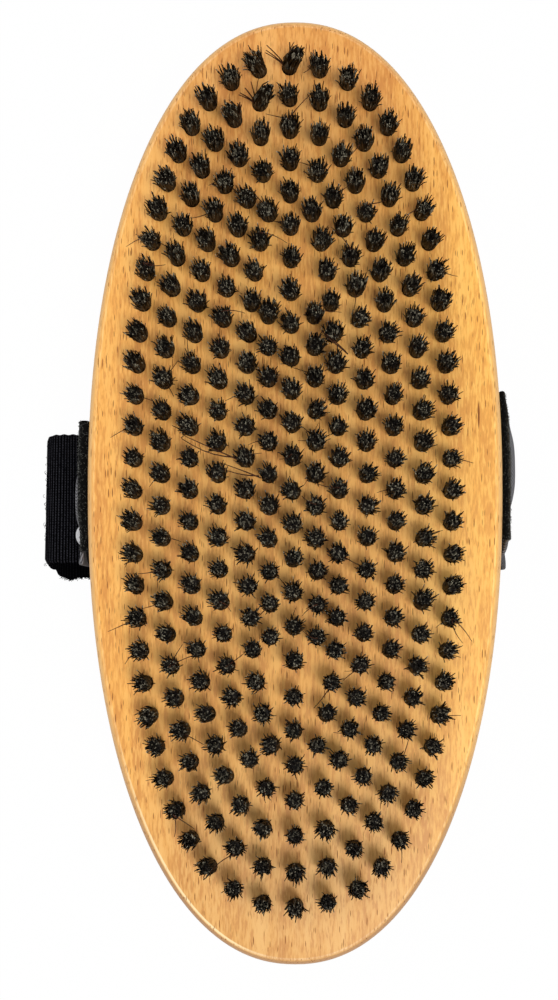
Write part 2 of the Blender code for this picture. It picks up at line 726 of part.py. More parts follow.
def build():
    """Model the whole brush."""
    rng = random.Random(RANDOM_SEED)
    hair = (0.018, 0.014, 0.012)
    groups = [(f"tuft_ring_{ring + 1}", ring_slice_outlines(ring), ring_tufts(ring)) for ring in range(RING_COUNT)]
    groups.append((f"tuft_ring_{RING_COUNT + 1}", column_slice_outlines(), column_tufts()))
    groups.append(("tuft_centre_row", centre_slice_outlines(), centre_tufts()))
    add_face_board([tuft for _, _, tufts in groups for tuft in tufts])
    add_back_board()
    for name, outlines, tufts in groups:
        group = add_tuft_group(name, outlines, tufts, rng, hair)
        if name == "tuft_ring_1":
            combine(group, add_cutter("stray_hairs", strays_mesh("stray_hairs", tufts)), "UNION")
    add_left_strap()
    add_right_strap()
    for name, side, shift in (("left", -1, LEFT_SCREW_SHIFT), ("right", 1, RIGHT_SCREW_SHIFT)):
        add_screw(f"{name}_screw", side, shift, finish(f"{name}_screw", (0.62, 0.61, 0.58), 0.3, 1.0))
        add_washer(f"{name}_washer", side, shift, finish(f"{name}_washer", (0.60, 0.60, 0.58), 0.35, 1.0))


build()
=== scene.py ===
"""Looks of the oval horsehair brush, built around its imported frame.

Each finish is a frozen dataclass. The wooden block, the tufts of hair, the hand strap, its closure and
fluff, the fasteners and the studio are classes that hold their sizes in metres. main() builds them in order.
"""

from __future__ import annotations

import logging
import math
import random
from collections.abc import Callable, Iterable, Mapping, Sequence
from dataclasses import dataclass
from enum import Enum
from typing import Any

import bmesh
import bpy
from mathutils import Matrix, Vector


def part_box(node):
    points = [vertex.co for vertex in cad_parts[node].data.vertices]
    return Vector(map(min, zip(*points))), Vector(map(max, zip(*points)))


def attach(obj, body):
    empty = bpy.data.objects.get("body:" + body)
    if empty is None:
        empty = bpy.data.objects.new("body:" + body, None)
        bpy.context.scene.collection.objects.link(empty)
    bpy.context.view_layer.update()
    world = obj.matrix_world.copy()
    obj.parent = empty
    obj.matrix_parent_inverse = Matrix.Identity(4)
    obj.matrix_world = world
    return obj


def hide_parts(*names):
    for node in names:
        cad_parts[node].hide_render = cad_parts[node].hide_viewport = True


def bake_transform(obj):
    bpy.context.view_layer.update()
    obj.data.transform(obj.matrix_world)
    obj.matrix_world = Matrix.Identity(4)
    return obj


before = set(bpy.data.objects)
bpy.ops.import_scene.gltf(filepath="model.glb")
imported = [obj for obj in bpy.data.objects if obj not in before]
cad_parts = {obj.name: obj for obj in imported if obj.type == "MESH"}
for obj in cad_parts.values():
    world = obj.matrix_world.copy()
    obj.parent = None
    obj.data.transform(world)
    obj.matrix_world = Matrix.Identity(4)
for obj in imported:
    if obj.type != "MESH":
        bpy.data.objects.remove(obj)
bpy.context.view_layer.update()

LOG = logging.getLogger("brush")
PHOTO_WIDTH = 558
PHOTO_HEIGHT = 1000
WELD = 0.000002
SHARP_DEGREES = 35.0
STRAND_SIDES = 3
BEND_STEPS = 6
FINE_STEPS = 40
TAPE_BEVEL = 0.22
TAPE_CORNER_STEPS = 8
TAPE_RIM_STEPS = 2
STRAP_SEED = 5
WHITE = (1.0, 1.0, 1.0)
GOLDEN_ANGLE = math.pi * (3.0 - math.sqrt(5.0))
EVEN_SHARES = tuple(step / 5 for step in range(6))

Pair = tuple[float, float]
Triple = tuple[float, float, float]
Colour = Triple
Thread = list[tuple[Vector, float]]


class Body(str, Enum):
    """Bodies of the frame that pieces ride on."""

    BRUSH = "brush"
    TAIL = "tail"


class Slot(str, Enum):
    """Material slots of the record."""

    BEECH = "beech"
    HORSEHAIR = "horsehair"
    WEBBING = "webbing"
    ELASTIC = "elastic"
    HOOK_TAPE = "hook_tape"
    LOOP_TAPE = "loop_tape"
    STEEL = "steel"


class Socket:
    """A shader socket that takes part in Python expressions."""

    def __init__(self, tree: bpy.types.NodeTree, socket: bpy.types.NodeSocket) -> None:
        """Keep the socket and its tree.

        Args:
            tree: Node tree that holds the socket.
            socket: Output socket.
        """
        self.tree = tree
        self.socket = socket

    def maths(self, operation: str, *values: Any) -> Socket:
        """Add a Math node.

        Args:
            operation: Name of the operation.
            values: Its inputs, numbers or sockets.

        Returns:
            The result's socket.
        """
        node = self.tree.nodes.new("ShaderNodeMath")
        node.operation = operation
        for slot, value in zip(node.inputs, values):
            if isinstance(value, Socket):
                self.tree.links.new(value.socket, slot)
            else:
                slot.default_value = value
        return Socket(self.tree, node.outputs[0])

    def __add__(self, other: Any) -> Socket:
        """Sum."""
        return self.maths("ADD", self, other)

    __radd__ = __add__

    def __mul__(self, other: Any) -> Socket:
        """Product."""
        return self.maths("MULTIPLY", self, other)

    __rmul__ = __mul__

    def __sub__(self, other: Any) -> Socket:
        """Difference."""
        return self.maths("SUBTRACT", self, other)

    def __rsub__(self, other: Any) -> Socket:
        """Difference from a number."""
        return self.maths("SUBTRACT", other, self)

    def __truediv__(self, other: Any) -> Socket:
        """Quotient."""
        return self.maths("DIVIDE", self, other)

    def larger(self, other: Socket) -> Socket:
        """Larger of two values."""
        return self.maths("MAXIMUM", self, other)

    def zigzag(self) -> Socket:
        """Rise and fall between 0 and 1, once in each whole number."""
        return self.maths("PINGPONG", self, 0.5) * 2.0

    def step(self, low: float, high: float) -> Socket:
        """Ease between two values.

        Args:
            low: Value up to which the result is 0.
            high: Value from which it is 1.

        Returns:
            The eased value.
        """
        node = self.tree.nodes.new("ShaderNodeMapRange")
        node.interpolation_type = "SMOOTHSTEP"
        node.inputs["From Min"].default_value = low
        node.inputs["From Max"].default_value = high
        self.tree.links.new(self.socket, node.inputs["Value"])
        return Socket(self.tree, node.outputs["Result"])


class Shader:
    """A material with a Principled shader and the nodes that feed it."""

    def __init__(self, name: str) -> None:
        """Start a material.

        Args:
            name: Name of the material.
        """
        self.material = bpy.data.materials.new(name)
        self.material.use_nodes = True
        self.tree = self.material.node_tree
        self.principled = self.tree.nodes["Principled BSDF"]

    def node(
        self,
        kind: str,
        settings: Mapping[str, Any] | None = None,
        values: Mapping[str | int, Any] | None = None,
        output: str | int = 0,
    ) -> Socket:
        """Add any node other than maths.

        Args:
            kind: The node's type.
            settings: Its properties, set first; stops are a colour ramp's places and colours.
            values: Values or links of its input sockets.
            output: The output socket that is wanted.

        Returns:
            The output's socket.
        """
        node = self.tree.nodes.new(kind)
        for name, value in (settings or {}).items():
            if name == "stops":
                self._set_stops(node.color_ramp, value)
            else:
                setattr(node, name, value)
        for name, value in (values or {}).items():
            self.feed(node.inputs[name], value)
        return Socket(self.tree, node.outputs[output])

    @staticmethod
    def _set_stops(ramp: bpy.types.ColorRamp, stops: Sequence[tuple[float, Colour]]) -> None:
        """Set a colour ramp's stops.

        Args:
            ramp: The ramp.
            stops: Place and colour of each stop.
        """
        while len(ramp.elements) < len(stops):
            ramp.elements.new(1.0)
        for element, (place, colour) in zip(ramp.elements, stops):
            element.position = place
            element.color = (*colour, 1.0)

    def feed(self, socket: bpy.types.NodeSocket, value: Any) -> None:
        """Link a socket, or set its value.

        Args:
            socket: Input socket.
            value: A Socket, a number, a colour or a vector.
        """
        if isinstance(value, Socket):
            self.tree.links.new(value.socket, socket)
        elif socket.type == "RGBA" and len(value) == 3:
            socket.default_value = (*value, 1.0)
        else:
            socket.default_value = value

    def surface(self, **values: Any) -> None:
        """Set or link the Principled shader's sockets.

        Args:
            values: Values by the sockets' names, with underscores for spaces.
        """
        for name, value in values.items():
            label = name.replace("_", " ").title().replace("Ior", "IOR")
            self.feed(self.principled.inputs[label], value)

    def mix(self, factor: Any, first: Any, second: Any, blend: str = "MIX") -> Socket:
        """Mix two colours.

        Args:
            factor: Share of the second colour.
            first: Colour at 0.
            second: Colour at 1.
            blend: Blend type.

        Returns:
            The mixed colour.
        """
        settings = {"data_type": "RGBA", "blend_type": blend}
        return self.node("ShaderNodeMix", settings, {0: factor, 6: first, 7: second}, output=2)

    def tint(self, factor: Socket, colour: Socket, tone: Colour) -> Socket:
        """Multiply a colour by a tone, where the factor is 1."""
        return self.mix(factor, colour, self.mix(1.0, colour, tone, "MULTIPLY"))

    def space(self, scale: Sequence[float] = (1.0, 1.0, 1.0)) -> Socket:
        """Object coordinates, scaled along each axis."""
        coordinates = self.node("ShaderNodeTexCoord", output="Object")
        return self.node("ShaderNodeMapping", None, {"Vector": coordinates, "Scale": scale})

    def noise(
        self, vector: Socket, scale: float, detail: float = 2.0, roughness: float = 0.5,
        distortion: float = 0.0,
    ) -> Socket:
        """Add noise.

        Args:
            vector: Place that it is read at.
            scale: Its scale.
            detail: Number of finer layers.
            roughness: Strength of the finer layers.
            distortion: How far they swirl.

        Returns:
            The noise, from 0 to 1.
        """
        values = {"Vector": vector, "Scale": scale, "Detail": detail}
        values |= {"Roughness": roughness, "Distortion": distortion}
        return self.node("ShaderNodeTexNoise", None, values)

    def cells(self, vector: Socket, scale: float, output: str) -> Socket:
        """Scattered cells: each one's own chance, or the distance from its middle."""
        values = {"Vector": vector, "Scale": scale, "Randomness": 1.0}
        return self.node("ShaderNodeTexVoronoi", {"feature": "F1"}, values, output)

    def parts(self, source: str) -> tuple[Socket, Socket, Socket]:
        """Split a texture coordinate.

        Args:
            source: Name of the coordinate.

        Returns:
            Its three numbers.
        """
        coordinates = self.node("ShaderNodeTexCoord", output=source)
        first, second, third = (
            self.node("ShaderNodeSeparateXYZ", None, {0: coordinates}, output=index) for index in range(3)
        )
        return first, second, third

    def bump(self, height: Socket, distance: float, strength: float) -> Socket:
        """Bump from a height socket."""
        values = {"Height": height, "Distance": distance, "Strength": strength}
        return self.node("ShaderNodeBump", None, values)


@dataclass(frozen=True)
class BeechFinish:
    """Golden beech with fine fibres, short dark pores and slow changes of tone, and painted light: shade and
    sheen at its ends, light on its right side, highlights and shade along its rim.
    """

    light: Colour = (0.96, 0.50, 0.118)
    middle: Colour = (0.87, 0.40, 0.075)
    dark: Colour = (0.68, 0.275, 0.05)
    tone_stops: Triple = (0.34, 0.5, 0.64)
    tone_scale: float = 230.0
    tone_detail: float = 5.0
    grain_stretch: float = 0.1
    grain_roughness: float = 0.6
    fibre_scale: float = 2300.0
    fibre_detail: float = 3.0
    fibre_stretch: float = 0.15
    pale_fibres: Pair = (0.45, 0.64)
    pale_share: float = 0.7
    dark_fibres: Pair = (0.36, 0.5)
    dark_share: float = 0.75
    # Painted light: the wood's right side is made lighter.
    right_painted_light: Colour = (1.06, 1.12, 1.05)
    right_light_reach: Pair = (0.015, 0.04)
    # Painted shade: the top end is made darker.
    top_painted_shade: Colour = (0.87, 0.83, 0.95)
    # Painted sheen: the lower end is made paler and bluer.
    bottom_painted_sheen: Colour = (0.825, 0.893, 1.25)
    end_reach: Pair = (0.04, 0.097)
    # Painted highlight: a pale band along the rim's inner edge, where it meets the face.
    rim_highlight_tone: Colour = (1.08, 1.25, 1.9)
    rim_highlight_rise: Pair = (0.0355, 0.03574)
    rim_highlight_fall: Pair = (0.03574, 0.03579)
    # Painted shade: the rim's outer part and the block's side turn a duller tan.
    side_shade_tone: Colour = (0.8, 0.49, 0.2)
    side_shade_reach: Pair = (0.0354, 0.0357)
    side_shade_share: float = 0.7
    rim_shade: Colour = (0.41, 0.205, 0.088)
    rim_reach: Pair = (0.0333, 0.0337)
    rim_share: float = 0.8
    # Painted highlight: a pale line on the rim at the lower left.
    lower_left_rim_highlight: Colour = (1.0, 0.77, 0.42)
    shade_reach: Pair = (0.04, 0.085)
    lower_left_highlight_reach: Pair = (0.004, 0.016)
    pore: Colour = (0.25, 0.078, 0.012)
    pore_layers: tuple[float, ...] = (1.0, 0.72)
    pore_scale: float = 2500.0
    pore_stretch: float = 0.12
    pore_reach: Pair = (0.1375, 0.25)
    pore_chance: Pair = (0.4, 0.75)
    pore_amount: float = 0.9
    fleck_place: Pair = (0.0381, 0.0161)
    fleck_size: Pair = (0.00025, 0.0033)
    fleck_edge: Pair = (0.3, 1.0)
    roughness: float = 0.46
    pore_roughness: float = 0.25
    fibre_roughness: float = 0.08
    fibre_relief: float = 0.35
    relief_depth: float = 0.00006
    relief_strength: float = 0.55

    def material(self) -> bpy.types.Material:
        """Make the material.

        Returns:
            The finished material.
        """
        shader = Shader("beech")
        long_grain = shader.space((1.0, self.grain_stretch, 1.0))
        tone = shader.noise(long_grain, self.tone_scale, self.tone_detail, self.grain_roughness)
        stops = tuple(zip(self.tone_stops, (self.dark, self.middle, self.light)))
        colour = shader.node("ShaderNodeValToRGB", {"stops": stops}, {0: tone})
        streaks = shader.space((1.0, self.fibre_stretch, 1.0))
        fibre = shader.noise(streaks, self.fibre_scale, self.fibre_detail, self.grain_roughness)
        colour = shader.mix(fibre.step(*self.pale_fibres) * self.pale_share, colour, self.light)
        colour = shader.mix((1.0 - fibre.step(*self.dark_fibres)) * self.dark_share, colour, self.dark)
        colour = self.shaded(shader, colour)
        pores = self.pores(shader)
        shader.surface(
            base_color=shader.mix(pores, colour, self.pore),
            roughness=pores * self.pore_roughness + self.roughness + fibre * self.fibre_roughness,
            normal=shader.bump(fibre * self.fibre_relief - pores, self.relief_depth, self.relief_strength),
            specular_ior_level=0.3,
            coat_weight=0.06,
            coat_roughness=0.3,
        )
        return shader.material

    def shaded(self, shader: Shader, colour: Socket) -> Socket:
        """Paint light and shade on the wood: painted shade and sheen at its ends, painted light on its right
        side, painted highlights and shade along its rim.

        Args:
            shader: The beech's shader.
            colour: Colour of the plain grain.

        Returns:
            The changed colour.
        """
        wide, long, height = shader.parts("Object")
        low_end = long * -1.0
        # Band of the painted highlight along the rim's inner edge.
        edge = height.step(*self.rim_highlight_rise) * (1.0 - height.step(*self.rim_highlight_fall))
        # Mask of the painted shade on the rim's outer part and the block's side.
        side = 1.0 - height.step(*self.side_shade_reach)
        below = low_end.step(*self.shade_reach)
        left = (wide * -1.0).step(*self.lower_left_highlight_reach)
        # Painted light on the right side.
        colour = shader.tint(wide.step(*self.right_light_reach), colour, self.right_painted_light)
        # Painted highlight along the rim's inner edge.
        colour = shader.tint(edge, colour, self.rim_highlight_tone)
        # Painted shade at the top end.
        colour = shader.tint(long.step(*self.end_reach), colour, self.top_painted_shade)
        # Painted sheen at the lower end.
        colour = shader.tint(low_end.step(*self.end_reach), colour, self.bottom_painted_sheen)
        # Painted shade on the rim's outer part and the block's side.
        colour = shader.mix(side * self.side_shade_share, colour, self.side_shade_tone)
        rim = side * height.step(*self.rim_reach) * below * self.rim_share
        colour = shader.mix(rim, colour, self.rim_shade)
        # Painted highlight on the rim at the lower left.
        return shader.mix(edge * below * left, colour, self.lower_left_rim_highlight)

    def pores(self, shader: Shader) -> Socket:
        """Add the pores, in layers of two sizes, and the one long fleck.

        Args:
            shader: The beech's shader.

        Returns:
            Mask of the dark spots.
        """
        dashes = shader.space((1.0, self.pore_stretch, 1.0))
        pores = self.long_fleck(shader)
        for layer in self.pore_layers:
            distance = shader.cells(dashes, self.pore_scale * layer, "Distance")
            chance = shader.cells(dashes, self.pore_scale * layer, "Color")
            spot = (1.0 - distance.step(*self.pore_reach)) * chance.step(*self.pore_chance)
            pores = pores.larger(spot * self.pore_amount)
        return pores

    def long_fleck(self, shader: Shader) -> Socket:
        """Add the long dark fleck in the grain near the right edge.

        Args:
            shader: The beech's shader.

        Returns:
            Mask of the fleck.
        """
        wide, long, _ = shader.parts("Object")
        wide = (wide - self.fleck_place[0]) / self.fleck_size[0]
        long = (long - self.fleck_place[1]) / self.fleck_size[1]
        return 1.0 - (wide * wide + long * long).step(*self.fleck_edge)


@dataclass(frozen=True)
class HairFinish:
    """Black horsehair whose tone changes from hair to hair, with a painted warm reflection of the wood near
    the root and painted glints on some hairs towards the tips.
    """

    dark: Colour = (0.0036, 0.0018, 0.0008)
    middle: Colour = (0.017, 0.0108, 0.006)
    middle_chance: Pair = (0.4, 0.56)
    # Painted glints: some hairs take this pale colour, fully towards the tips and less near the root.
    light: Colour = (0.4, 0.36, 0.26)
    glint_chance: Pair = (0.69, 0.79)
    root_glint: float = 0.3
    # Painted reflection: warm light from the wood makes the hair browner near the root.
    root: Colour = (0.02, 0.0095, 0.0035)
    root_reflection_share: float = 0.6
    rise: Pair = (0.0375, 0.0445)
    hair_scale: float = 3600.0
    stretch: float = 0.06
    roughness: float = 0.4
    uneven: float = 0.2

    def material(self) -> bpy.types.Material:
        """Make the material.

        Returns:
            The finished material.
        """
        shader = Shader("horsehair")
        chance = shader.cells(shader.space((1.0, 1.0, self.stretch)), self.hair_scale, "Color")
        _, _, height = shader.parts("Object")
        risen = height.step(*self.rise)
        colour = shader.mix(chance.step(*self.middle_chance), self.dark, self.middle)
        # Painted warm reflection of the wood near the root.
        colour = shader.mix((1.0 - risen) * self.root_reflection_share, colour, self.root)
        # Painted glints on some hairs, weaker near the root.
        lit = chance.step(*self.glint_chance) * (risen * (1.0 - self.root_glint) + self.root_glint)
        shader.surface(
            base_color=shader.mix(lit, colour, self.light),
            roughness=chance * self.uneven + self.roughness,
            specular_ior_level=0.1,
        )
        return shader.material


@dataclass(frozen=True)
class WebbingFinish:
    """Black webbing: fuzzy with pale flecks over its fold and painted shade on the flap against the block,
    and woven smooth below the fold, greyer there with painted sheen and darker lower down with painted shade.
    """

    dark: Colour = (0.0018, 0.0017, 0.0016)
    left_fuzz: Colour = (0.007, 0.0065, 0.0055)
    right_fuzz: Colour = (0.045, 0.034, 0.02)
    middle_reach: Pair = (0.0, 0.01)
    fuzz_scale: float = 2000.0
    fuzz_share: Pair = (0.42, 0.62)
    fleck: Colour = (0.19, 0.195, 0.18)
    fleck_scale: float = 2500.0
    fleck_roughness: float = 0.6
    fleck_swirl: float = 1.2
    fleck_share: Pair = (0.575, 0.65)
    # Painted sheen: the woven face below the fold is a paler grey than the black webbing.
    woven_dark: Colour = (0.022, 0.021, 0.024)
    woven_sheen: Colour = (0.235, 0.232, 0.245)
    pick: float = 0.0012
    wale: float = 0.0007
    thread_reach: Pair = (0.15, 0.75)
    grain_share: float = 0.2
    shade_height: Pair = (0.0125, 0.0215)
    shade_share: float = 0.6
    # Painted shade: the flap against the block is dark up to here.
    flap_shade_end: Pair = (0.0148, 0.0153)
    fold_end: Pair = (0.0163, 0.017)
    fold_fray: float = 0.0016
    fuzz_relief: float = 1.5
    depth: float = 0.0001
    strength: float = 0.9
    roughness: float = 0.73
    uneven: float = 0.15

    def material(self) -> bpy.types.Material:
        """Make the material.

        Returns:
            The finished material.
        """
        shader = Shader("webbing")
        along, across, _ = shader.parts("UV")
        side, _, height = shader.parts("Object")
        weave = (along / self.pick + across / self.wale).zigzag()
        place = shader.space()
        grain = shader.noise(place, self.fuzz_scale)
        fibres = shader.noise(
            place, self.fleck_scale, roughness=self.fleck_roughness, distortion=self.fleck_swirl
        )
        fuzzy = shader.mix(side.step(*self.middle_reach), self.left_fuzz, self.right_fuzz)
        fuzzy = shader.mix(grain.step(*self.fuzz_share), self.dark, fuzzy)
        fuzzy = shader.mix(fibres.step(*self.fleck_share), fuzzy, self.fleck)
        # Painted shade on the flap against the block.
        fuzzy = shader.mix(1.0 - along.step(*self.flap_shade_end), fuzzy, self.dark)
        lit = weave.step(*self.thread_reach) * (1.0 - self.grain_share) + grain * self.grain_share
        lit = lit * (height.step(*self.shade_height) * self.shade_share + (1.0 - self.shade_share))
        # Painted sheen on the woven face below the fold.
        woven = shader.mix(lit, self.woven_dark, self.woven_sheen)
        below = (along + (grain - 0.5) * self.fold_fray).step(*self.fold_end)
        relief = weave * below + fibres * (self.fuzz_relief - below)
        shader.surface(
            base_color=shader.mix(below, fuzzy, woven),
            roughness=grain * self.uneven + self.roughness,
            normal=shader.bump(relief, self.depth, self.strength),
            specular_ior_level=0.06,
            sheen_weight=0.03,
            sheen_roughness=0.45,
        )
        return shader.material


@dataclass(frozen=True)
class ElasticFinish:
    """Black ribbed elastic: each rib a dotted zigzag line, with painted light on the ridges, painted shade in
    the grooves, and painted shade on its lower run.
    """

    # Painted shade in the grooves and painted light on the ridges.
    groove_shade: Colour = (0.0006, 0.0006, 0.0008)
    ridge_light: Colour = (0.036, 0.036, 0.044)
    rib_pitch: float = 0.00063
    rib_reach: Pair = (0.35, 0.95)
    dot_pitch: float = 0.0006
    dot_reach: Pair = (0.15, 0.8)
    dot_share: float = 0.6
    dot_sway: float = 0.00012
    grain_scale: float = 2600.0
    grain_reach: Pair = (0.3, 0.6)
    grain_share: float = 0.7
    # Painted shade: the lower run is darker.
    shade_height: Pair = (0.002, 0.0075)
    lower_shade_share: float = 0.2
    relief: Triple = (0.6, 0.3, 0.3)
    relief_depth: float = 0.00008
    relief_strength: float = 0.8
    roughness: float = 0.8
    uneven: float = 0.1

    def material(self) -> bpy.types.Material:
        """Make the material.

        Returns:
            The finished material.
        """
        shader = Shader("elastic")
        along, across, _ = shader.parts("UV")
        _, _, height = shader.parts("Object")
        dots = (across / self.dot_pitch).zigzag()
        rib = ((along + dots * self.dot_sway) / self.rib_pitch).zigzag()
        grain = shader.noise(shader.space(), self.grain_scale)
        # Painted light on the ridges, with painted shade in the grooves.
        lit = rib.step(*self.rib_reach)
        lit = lit * (dots.step(*self.dot_reach) * self.dot_share + (1.0 - self.dot_share))
        lit = lit * (grain.step(*self.grain_reach) * self.grain_share + (1.0 - self.grain_share))
        # Painted shade on the lower run.
        lit = lit * (height.step(*self.shade_height) * (1.0 - self.lower_shade_share) + self.lower_shade_share)
        ribs, specks, fluff = self.relief
        relief = rib * ribs + dots * specks + grain * fluff
        shader.surface(
            base_color=shader.mix(lit, self.groove_shade, self.ridge_light),
            roughness=grain * self.uneven + self.roughness,
            normal=shader.bump(relief, self.relief_depth, self.relief_strength),
            specular_ior_level=0.0,
        )
        return shader.material


@dataclass(frozen=True)
class ThreadFinish:
    """Plain twisted fibre, for thread, fuzz and tapes."""

    name: str
    colour: Colour
    other: Colour
    scale: float = 3200.0
    reach: Pair = (0.35, 0.65)
    depth: float = 0.00004
    strength: float = 0.6
    roughness: float = 0.6
    uneven: float = 0.2

    def material(self) -> bpy.types.Material:
        """Make the material.

        Returns:
            The finished material.
        """
        shader = Shader(self.name)
        tone = shader.noise(shader.space(), self.scale)
        shader.surface(
            base_color=shader.mix(tone.step(*self.reach), self.colour, self.other),
            roughness=tone * self.uneven + self.roughness,
            normal=shader.bump(tone, self.depth, self.strength),
            specular_ior_level=0.2,
        )
        return shader.material


HOOK_TAPE_FINISH = ThreadFinish("hook_tape", colour=(0.02, 0.02, 0.021), other=(0.032, 0.032, 0.034))
LOOP_TAPE_FINISH = ThreadFinish("loop_tape", colour=(0.012, 0.012, 0.013), other=(0.03, 0.03, 0.031))
# The stray hairs' red-brown is painted warm light from the wood they lie over.
STRAY_HAIR_FINISH = ThreadFinish("stray_hair", colour=(0.02, 0.007, 0.0035), other=(0.09, 0.028, 0.011))
THREAD_FINISH = ThreadFinish("thread", colour=(0.016, 0.016, 0.016), other=(0.04, 0.04, 0.039))
FUZZ_FINISH = ThreadFinish("fuzz", colour=(0.009, 0.009, 0.0085), other=(0.098, 0.098, 0.088))
RIBBON_FINISH = ThreadFinish("ribbon", colour=(0.74, 0.74, 0.76), other=(0.82, 0.82, 0.83))


@dataclass(frozen=True)
class SteelFinish:
    """Zinc plated steel with faint turning marks."""

    colour: Colour = (0.62, 0.61, 0.58)
    mark: Colour = (0.44, 0.43, 0.41)
    mark_share: float = 0.5
    mark_stretch: float = 0.2
    mark_scale: float = 1800.0
    mark_detail: float = 3.0
    roughness: float = 0.22
    uneven: float = 0.2

    def material(self) -> bpy.types.Material:
        """Make the material.

        Returns:
            The finished material.
        """
        shader = Shader("steel")
        marks = shader.noise(shader.space((self.mark_stretch, 1.0, 1.0)), self.mark_scale, self.mark_detail)
        shader.surface(
            base_color=shader.mix(marks * self.mark_share, self.colour, self.mark),
            metallic=1.0,
            roughness=marks * self.uneven + self.roughness,
        )
        return shader.material


def add_object(name: str, data: bpy.types.ID) -> bpy.types.Object:
    """Put an object with the given data in the scene.

    Args:
        name: Name of the object.
        data: Its mesh, curve, light or camera.

    Returns:
        The object, at the origin.
    """
    made = bpy.data.objects.new(name, data)
    bpy.context.scene.collection.objects.link(made)
    return made


def mesh_from(name: str, bm: bmesh.types.BMesh) -> bpy.types.Mesh:
    """Turn a bmesh into a mesh.

    Args:
        name: Name of the mesh.
        bm: Its shape, in the frame's metres; it is freed.

    Returns:
        The mesh.
    """
    mesh = bpy.data.meshes.new(name)
    bm.to_mesh(mesh)
    bm.free()
    return mesh


def smooth(mesh: bpy.types.Mesh, degrees: float = SHARP_DEGREES) -> None:
    """Shade a mesh smooth, apart from edges over an angle."""
    mesh.shade_smooth()
    mesh.set_sharp_from_angle(angle=math.radians(degrees))


def extrude(
    bm: bmesh.types.BMesh, cap: Sequence[bmesh.types.BMFace]
) -> tuple[list[bmesh.types.BMVert], list[bmesh.types.BMFace]]:
    """Extrude a cap, which stays in place until its vertices are moved.

    Args:
        bm: Mesh that holds the cap.
        cap: Its faces.

    Returns:
        Vertices and faces of the new cap.
    """
    made = bmesh.ops.extrude_face_region(bm, geom=cap)["geom"]
    verts = [item for item in made if isinstance(item, bmesh.types.BMVert)]
    return verts, [item for item in made if isinstance(item, bmesh.types.BMFace)]


@dataclass
class Maker:
    """Turns bmeshes into pieces that ride on a body, replace CAD nodes and take a slot's finish."""

    finishes: dict[Slot, bpy.types.Material]
    stray_hair: bpy.types.Material
    thread: bpy.types.Material
    fuzz: bpy.types.Material
    ribbon: bpy.types.Material

    def piece(
        self,
        name: str,
        bm: bmesh.types.BMesh,
        slot: Slot,
        replaces: Sequence[str] = (),
        *,
        body: Body | None = Body.BRUSH,
        finish: bpy.types.Material | None = None,
        smooth_degrees: float | None = SHARP_DEGREES,
        recalculate: bool = True,
    ) -> bpy.types.Object:
        """Make a finished object at the origin.

        Args:
            name: The piece's name.
            bm: Its shape, in the frame's metres; it is freed.
            slot: The material slot.
            replaces: CAD nodes that the piece stands for.
            body: The body that it rides on, or None where the caller attaches it, if at all.
            finish: Its own material, or None for the slot's.
            smooth_degrees: Angle over which an edge stays sharp, or None for flat faces.
            recalculate: Whether the normals are worked out again.

        Returns:
            The object.
        """
        if recalculate:
            bmesh.ops.recalc_face_normals(bm, faces=bm.faces)
        mesh = mesh_from(name, bm)
        if smooth_degrees is not None:
            smooth(mesh, smooth_degrees)
        piece = add_object(name, mesh)
        mesh.materials.append(finish or self.finishes[slot])
        if replaces:
            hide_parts(*replaces)
        if body is not None:
            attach(piece, body.value)
        LOG.info("%s: %d faces", name, len(mesh.polygons))
        return piece


def oval_point(half_width: float, half_length: float, power: float, angle: float) -> Vector:
    """Point of a superellipse.

    Args:
        half_width: Half-axis along X.
        half_length: Half-axis along Y.
        power: The superellipse's exponent.
        angle: Angle from +Y towards +X.

    Returns:
        The point.
    """
    across = math.sin(angle)
    along = math.cos(angle)
    return Vector((
        half_width * math.copysign(abs(across) ** (2 / power), across),
        half_length * math.copysign(abs(along) ** (2 / power), along),
    ))


def running_lengths(points: Sequence[Vector]) -> list[float]:
    """Length along a line of points.

    Args:
        points: The line's points.

    Returns:
        The length from the start to each point.
    """
    lengths = [0.0]
    for start, end in zip(points, points[1:]):
        lengths.append(lengths[-1] + (end - start).length)
    return lengths


def even_points(half_width: float, half_length: float, power: float, count: int) -> list[Vector]:
    """Points spaced evenly along a superellipse.

    Args:
        half_width: Half-axis along X.
        half_length: Half-axis along Y.
        power: The superellipse's exponent.
        count: Number of points.

    Returns:
        The points, from the +Y end, clockwise.
    """
    fine = FINE_STEPS * count
    outline = [oval_point(half_width, half_length, power, math.tau * i / fine) for i in range(fine + 1)]
    lengths = running_lengths(outline)
    points = []
    segment = 0
    for i in range(count):
        wanted = lengths[-1] * i / count
        while lengths[segment + 1] < wanted:
            segment += 1
        share = (wanted - lengths[segment]) / (lengths[segment + 1] - lengths[segment])
        points.append(outline[segment].lerp(outline[segment + 1], share))
    return points


